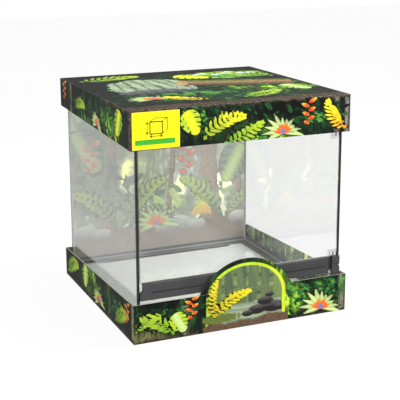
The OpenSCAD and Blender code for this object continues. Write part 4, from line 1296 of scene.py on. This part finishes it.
rear_print = block("rear_scene_card", *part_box("rear_print_card"))
for axis in (0, 2):
    grid_lines(rear_print, axis, REAR_STEP)
# Both broad faces lie behind the origin, so the painter calls them the rear panel, seen from behind
rear_art = {**dict.fromkeys(PANEL_SHIFT, plain_board), "front": rear_picture}
paint(rear_print, {**rear_art, "rear": lambda s, h: rear_picture(-s, h)})
pale_print = printed_material("pale_print", wash=0.36, contrast=0.7, leaf_scale=0.5)
fit_out(rear_print, "rear_print_card", pale_print)
print("rear print faces:", len(rear_print.data.polygons))

# %% [markdown]
# ## The yellow size label
# The sticker on the cap is plain yellow with a green band. It shows a tank's outline with an arrow
# along its width and its height. It is thin, so its corners are rounded and its edge eased.

# %% Size label
label_low, label_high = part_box("cap_label")
LABEL_DARK = ink(24, 22, 14)
TANK_PLACE = (36.0, 29.0)  # mm, the drawn tank's lower left corner, from the label's
TANK_DRAWN = (25.0, 23.0)  # mm, width and height of the drawn tank's front
TANK_DEPTH = (10.0, 7.0)  # mm, how far its rear is drawn to the right and up
ARROW_GAPS = (5.5, 4.5)  # mm, from the tank to the arrows at its left and under it
LABEL_STEP = 1.2 * MM


def line(s, h, start, stop, width=1.4):
    """Distance in mm to a straight line between two points."""
    reach = (stop[0] - start[0], stop[1] - start[1])
    middle = (start[0] + reach[0] / 2, start[1] + reach[1] / 2)
    turn = math.degrees(math.atan2(reach[1], reach[0]))
    return slab(s, h, middle, (math.hypot(*reach) + width, width), turn, corner=0.4)


def double_arrow(s, h, start, stop):
    """Distance in mm to a line with a pointed head at both ends."""
    parts = [line(s, h, start, stop)]
    heading = math.degrees(math.atan2(stop[1] - start[1], stop[0] - start[0]))
    for tip, turn in ((start, heading), (stop, heading + 180)):
        parts += [line(s, h, tip, ahead(tip, 5, turn + side)) for side in (-35, 35)]
    return np.minimum.reduce(parts)


def label_face(s, h):
    canvas = Canvas(s, h, ink(255, 236, 0), PLAIN)
    left, foot = label_low.x / MM, label_low.z / MM
    width, height = (label_high.x - label_low.x) / MM, (label_high.z - label_low.z) / MM
    band = slab(s, h, (left + width * 0.48, foot + height * 0.19), (width * 0.84, height * 0.14), corner=0.5)
    canvas.stamp(1, band, ink(62, 172, 48))
    x, y = left + TANK_PLACE[0], foot + TANK_PLACE[1]
    far_x, far_y = x + TANK_DRAWN[0], y + TANK_DRAWN[1]
    corners = ((x, y), (far_x, y), (far_x, far_y), (x, far_y))
    behind = [(a + TANK_DEPTH[0], b + TANK_DEPTH[1]) for a, b in corners]
    parts = [line(s, h, corners[i], corners[i - 1], 2.0) for i in range(4)]
    parts += [line(s, h, corners[i], behind[i]) for i in (1, 2, 3)]
    parts += [line(s, h, behind[i], behind[i + 1]) for i in (1, 2)]
    parts.append(double_arrow(s, h, (x, y - ARROW_GAPS[1]), (far_x, y - ARROW_GAPS[1])))
    parts.append(double_arrow(s, h, (x - ARROW_GAPS[0], y), (x - ARROW_GAPS[0], far_y)))
    canvas.stamp(2, np.minimum.reduce(parts), LABEL_DARK)
    return canvas


label = block("size_label", label_low, label_high)
editing(label, "EDGE")
pick(label, "EDGE", along(label, 1))
bpy.ops.mesh.bevel(offset=1.2 * MM, segments=4, affect="EDGES")
bpy.ops.object.mode_set(mode="OBJECT")
sliced(label, 0, label_low.x, label_high.x, LABEL_STEP)
sliced(label, 2, label_low.z, label_high.z, LABEL_STEP)
paint(label, dict.fromkeys(PANEL_SHIFT, label_face))
fit_out(label, "cap_label", printed_material("label_film", relief=0.01 * MM))
print("label faces:", len(label.data.polygons))

# %% [markdown]
# ## Glass
# Float glass is clear through its faces and grey-green at its edges, where one looks along it. Its
# cut edges are ground, so each pane is a copy of its CAD node with eased edges. Rays that carry
# light and shadow pass straight through, because thin flat panes hardly bend or hold it back.

# %% Glass
PANES = (("base_glass", "base_pane"), ("left_glass", "left_pane"), ("right_glass", "right_pane"),
         ("rear_glass", "rear_pane"), ("lower_front_glass", "lower_front_pane"),
         ("door_glass", "door_pane"), ("cover_glass", "cover_pane"))
pane_glass, tree, shader = new_material(
    "pane_glass", Base_Color=(0.97, 0.972, 0.97, 1), Roughness=0.0, IOR=1.45, Transmission_Weight=1.0)
smear = noise(tree, own_place(tree), 5.0, 3.0)
feed(tree, shader, {"Roughness": ramp(tree, smear, 0.45, 0.8, 0.0, 0.006)})
seen = add(tree, "ShaderNodeLightPath").outputs
carries = sums(tree, "MAXIMUM", seen["Is Shadow Ray"], seen["Is Diffuse Ray"])
clear = add(tree, "ShaderNodeBsdfTransparent", {"Color": (0.985, 0.99, 0.987, 1)})
second_shader(tree, carries, shader, clear)

for node, name in PANES:
    fit_out(eased_copy(node, name, 0.4 * MM, segments=1, flat=True), node, pane_glass)
print("panes:", len(PANES))

# %% [markdown]
# ## Moulded plastic
# The frames, the vent strip and the fittings are black plastic. Injection moulds leave a fine
# texture and rubbed edges catch a little more light, so one group gives a spark-eroded grain,
# a slow change of sheen and a paler grey in patches on faces that look up.

# %% Moulded plastic
moulding, given, result = new_group(
    "moulding",
    {"Place": (VECTOR, None), "Colour": (COLOUR, (0.02, 0.02, 0.02, 1)), "Grain": (FLOAT, 2200.0),
     "Sheen low": (FLOAT, 0.35), "Sheen high": (FLOAT, 0.55), "Upward paleness": (FLOAT, 0.1)},
    {"Color": COLOUR, "Roughness": FLOAT, "Height": FLOAT})
g = moulding
slow = noise(g, given["Place"], 14.0, 3.0)
facing = add(g, "ShaderNodeSeparateXYZ", {0: add(g, "ShaderNodeNewGeometry").outputs["Normal"]}).outputs["Z"]
# Faces that look up are mixed towards a pale grey, in slow patches.
paler_upward = product(g, ramp(g, facing, 0.5, 1.0), ramp(g, slow, 0.4, 0.7), given["Upward paleness"])
colour = mixed(g, 1.0, given["Colour"], grey(g, ramp(g, slow, 0.3, 0.7, 0.88, 1.12)), "MULTIPLY")
sheen = add(g, "ShaderNodeMapRange", {"Value": slow, "From Min": 0.3, "From Max": 0.7,
            "To Min": given["Sheen low"], "To Max": given["Sheen high"]}).outputs["Result"]
feed(g, result, {"Color": mixed(g, paler_upward, colour, ink(170, 168, 164)), "Roughness": sheen,
                 "Height": noise(g, given["Place"], given["Grain"])})


def plastic(name, colour, grain=2200.0, sheen=(0.35, 0.55), upward_paleness=0.1, relief=0.02 * MM, **constants):
    """A moulded plastic with its own colour, grain and sheen."""
    material, tree, shader = new_material(name, **constants)
    values = {"Place": own_place(tree), "Colour": colour, "Grain": grain, "Sheen low": sheen[0],
              "Sheen high": sheen[1], "Upward paleness": upward_paleness}
    out = add(tree, "ShaderNodeGroup", values, node_tree=moulding).outputs
    feed(tree, shader, {"Base Color": out["Color"], "Roughness": out["Roughness"]})
    bump(tree, shader, out["Height"], relief)
    return material


# The frames are black plastic but are coloured mid grey: painted reflection, for the white that the panes lay
# over the bottom frame seen through them.
frame_plastic = plastic("frame_plastic", ink(112, 112, 113), upward_paleness=0.25)
strip_plastic = plastic("strip_plastic", ink(60, 60, 62), sheen=(0.36, 0.55), relief=0.03 * MM)
black_steel = plastic("black_steel", ink(74, 74, 76), grain=1200.0, sheen=(0.3, 0.42), Metallic=0.6)
trim_plastic = plastic("trim_plastic", ink(34, 34, 36), grain=1500.0, sheen=(0.22, 0.38))
sealant_black = plastic("sealant_black", ink(30, 31, 33), grain=300.0, sheen=(0.3, 0.5), relief=0.1 * MM)
sealant_grey = plastic("sealant_grey", ink(176, 180, 178), grain=300.0, sheen=(0.3, 0.45), relief=0.1 * MM)
plug_rubber = plastic("plug_rubber", ink(176, 36, 24), grain=900.0, sheen=(0.5, 0.7))

FITTINGS = (
    ("bottom_frame", "bottom_rim", 0.6, frame_plastic), ("top_frame", "top_rim", 0.6, frame_plastic),
    ("lintel", "lintel_bar", 0.5, frame_plastic), ("cover_frame", "cover_bars", 0.4, frame_plastic),
    ("strip_end_stop", "strip_end_piece", 0.4, strip_plastic),
    ("lower_hinge_block", "lower_hinge", 0.35, strip_plastic),
    ("upper_hinge_block", "upper_hinge", 0.35, strip_plastic),
    ("vent_strip", "slotted_strip", 0.2, strip_plastic), ("hinge_screws", "block_screws", 0.12, black_steel),
    ("front_edge_seals", "front_edge_strips", 0.5, sealant_black),
    ("rear_corner_seals", "rear_corner_beads", 0.2, sealant_grey),
    ("base_sealant", "base_bead", 0.4, sealant_grey),
    ("drain_gasket", "gasket_ring", 0.2, sealant_black), ("drain_body", "drain_bowl", 0.3, trim_plastic),
    ("drain_nut", "drain_ring_nut", 0.3, trim_plastic), ("drain_plug", "hose_plug", 0.4, plug_rubber),
    ("drain_grate", "drain_grid", 0.2, trim_plastic), ("lock_knob", "turn_lock", 0.25, trim_plastic),
    ("door_pull", "door_grip", 0.4, trim_plastic), ("left_latch", "left_bolt", 0.3, trim_plastic),
    ("right_latch", "right_bolt", 0.3, trim_plastic), ("left_inlet_slide", "left_slide", 0.15, trim_plastic),
    ("right_inlet_slide", "right_slide", 0.15, trim_plastic),
)
for node, name, ease, material in FITTINGS:
    fit_out(eased_copy(node, name, ease * MM), node, material)
print("fittings:", len(FITTINGS))

# %% [markdown]
# ## Clear clips, steel and foam
# The door's pins sit in clear polycarbonate clips. Pins and the spring clip are stainless steel
# with fine turning lines. The pad under the tank is moulded foam, a mass of pressed beads.

# %% Clear clips, steel and foam
CLIP_CLEARNESS = 0.96
clear_clip, tree, shader = new_material(
    "clear_clip", Base_Color=(0.95, 0.96, 0.96, 1), Roughness=0.06, IOR=1.2, Transmission_Weight=1.0)
haze = noise(tree, own_place(tree), 120.0)
feed(tree, shader, {"Roughness": ramp(tree, haze, 0.3, 0.7, 0.04, 0.12)})
clear = add(tree, "ShaderNodeBsdfTransparent", {"Color": (0.96, 0.965, 0.965, 1)})
second_shader(tree, CLIP_CLEARNESS, shader, clear)
for node, name in (("lower_door_shoe", "lower_clip"), ("upper_door_shoe", "upper_clip")):
    fit_out(eased_copy(node, name, 0.3 * MM), node, clear_clip)

steel, tree, shader = new_material("bright_steel", Base_Color=ink(190, 190, 192), Metallic=1.0)
lines = noise(tree, own_place(tree), 900.0)
feed(tree, shader, {"Roughness": ramp(tree, lines, 0.3, 0.7, 0.22, 0.42)})
bump(tree, shader, lines, 0.01 * MM)
for node, name in (("hinge_pins", "steel_pins"), ("lock_clip", "spring_clip")):
    fit_out(eased_copy(node, name, 0.12 * MM), node, steel)

bead_foam, tree, shader = new_material("bead_foam", Roughness=0.8)
beads = add(tree, "ShaderNodeTexVoronoi", {"Vector": own_place(tree), "Scale": 260.0}, feature="SMOOTH_F1")
beads = beads.outputs["Distance"]
# The seams between the beads are coloured a little darker: painted shade in the hollows of the relief.
colour = mixed(tree, ramp(tree, beads, 0.25, 0.75), ink(244, 246, 245), ink(226, 230, 228))
feed(tree, shader, {"Base Color": colour})
bump(tree, shader, sums(tree, "SUBTRACT", 1.0, beads), 0.25 * MM)
fit_out(eased_copy("foam_pad", "foam_slab", 1.5 * MM, segments=3), "foam_pad", bead_foam)
print("clips, steel and foam are in place")

# %% [markdown]
# ## Woven mesh
# The mesh in the cover and behind the slots is woven wire. One wire is a small square section drawn
# out in steps that rise and fall. It is then arrayed across, and a turned copy of the same wire,
# half a wave out of step, is arrayed the other way. A thin black sheet behind the slots is painted
# shade: it makes them read as dark, as the shadow inside them would.

# %% Woven mesh
WIRE_SIDES = 4
WIRE, WIRE_PITCH = 0.24 * MM, 3.2 * MM  # radius and spacing in the cover
THIN_WIRE, THIN_PITCH = 0.14 * MM, 0.9 * MM  # and behind the slots
SLOT_SHADE_SHEET = 0.1 * MM


def wire(name, length, pitch, radius, phase):
    """One wire along +X from the origin, waving in Z over and under its neighbours."""
    bpy.ops.object.select_all(action="DESELECT")
    bpy.ops.mesh.primitive_circle_add(vertices=WIRE_SIDES, radius=radius, fill_type="NGON",
                                      rotation=(0, math.pi / 2, 0))
    piece = bpy.context.object
    piece.name = name
    settle(piece)
    steps = int(length / pitch)
    stride = length / steps
    editing(piece, "FACE")
    bpy.ops.mesh.select_all(action="SELECT")
    for i in range(steps):
        bpy.ops.mesh.extrude_region_move(TRANSFORM_OT_translate={"value": (stride, 0, 0)})
    bpy.ops.mesh.select_all(action="SELECT")
    bpy.ops.mesh.normals_make_consistent(inside=False)
    bpy.ops.object.mode_set(mode="OBJECT")
    for vertex in piece.data.vertices:
        ring = round(vertex.co.x / stride)
        vertex.co.z += radius * (1 if (ring + phase) % 2 else -1)
    return piece


def arrayed(piece, count, offset):
    """Repeats a piece, and applies the array."""
    only(piece)
    rows = piece.modifiers.new("rows", "ARRAY")
    rows.use_relative_offset = False
    rows.use_constant_offset = True
    rows.constant_offset_displace = offset
    rows.count = count
    bpy.ops.object.modifier_apply(modifier="rows")


def weave(name, width, depth, pitch, radius):
    """A flat piece of woven wire with one corner at the origin."""
    warp = wire(name, width, pitch, radius, 0)
    rows, columns = int(depth / pitch), int(width / pitch)
    arrayed(warp, rows + 1, (0, depth / rows, 0))
    weft = wire(name + "_weft", depth, pitch, radius, 1)
    weft.rotation_euler.z = math.pi / 2
    settle(weft)
    arrayed(weft, columns + 1, (width / columns, 0, 0))
    bpy.ops.object.select_all(action="DESELECT")
    weft.select_set(True)
    warp.select_set(True)
    bpy.context.view_layer.objects.active = warp
    bpy.ops.object.join()
    return warp


mesh_wire, tree, shader = new_material("mesh_wire", Base_Color=ink(96, 96, 98), Metallic=1.0)
lines = noise(tree, own_place(tree), 500.0)
feed(tree, shader, {"Roughness": ramp(tree, lines, 0.3, 0.7, 0.3, 0.5)})

low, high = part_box("cover_mesh")
cover_weave = weave("cover_weave", high.x - low.x - 2 * WIRE, high.y - low.y - 2 * WIRE, WIRE_PITCH, WIRE)
cover_weave.location = (low.x + WIRE, low.y + WIRE, (low.z + high.z) / 2)
settle(cover_weave)
fit_out(cover_weave, "cover_mesh", mesh_wire)

low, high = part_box("vent_mesh")
middle_y = (low.y + high.y) / 2
across, upward = high.x - low.x - 2 * THIN_WIRE, high.z - low.z - 2 * THIN_WIRE
vent_weave = weave("vent_weave", across, upward, THIN_PITCH, THIN_WIRE)
vent_weave.rotation_euler.x = math.pi / 2
vent_weave.location = (low.x + THIN_WIRE, middle_y, low.z + THIN_WIRE)
settle(vent_weave)
fit_out(vent_weave, "vent_mesh", black_steel)

# A black sheet behind the vent mesh is painted shade: it darkens the slots as the shadow inside them would.
slot_shade_y = middle_y + 2 * THIN_WIRE
slot_shade_sheet = block("painted_slot_shade", (low.x, slot_shade_y - SLOT_SHADE_SHEET, low.z), (high.x, slot_shade_y, high.z))
grid_lines(slot_shade_sheet, 0, 4 * MM)
slot_shade_sheet.data.materials.append(sealant_black)
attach(slot_shade_sheet, "tank")
print("weave faces:", len(cover_weave.data.polygons), len(vent_weave.data.polygons))
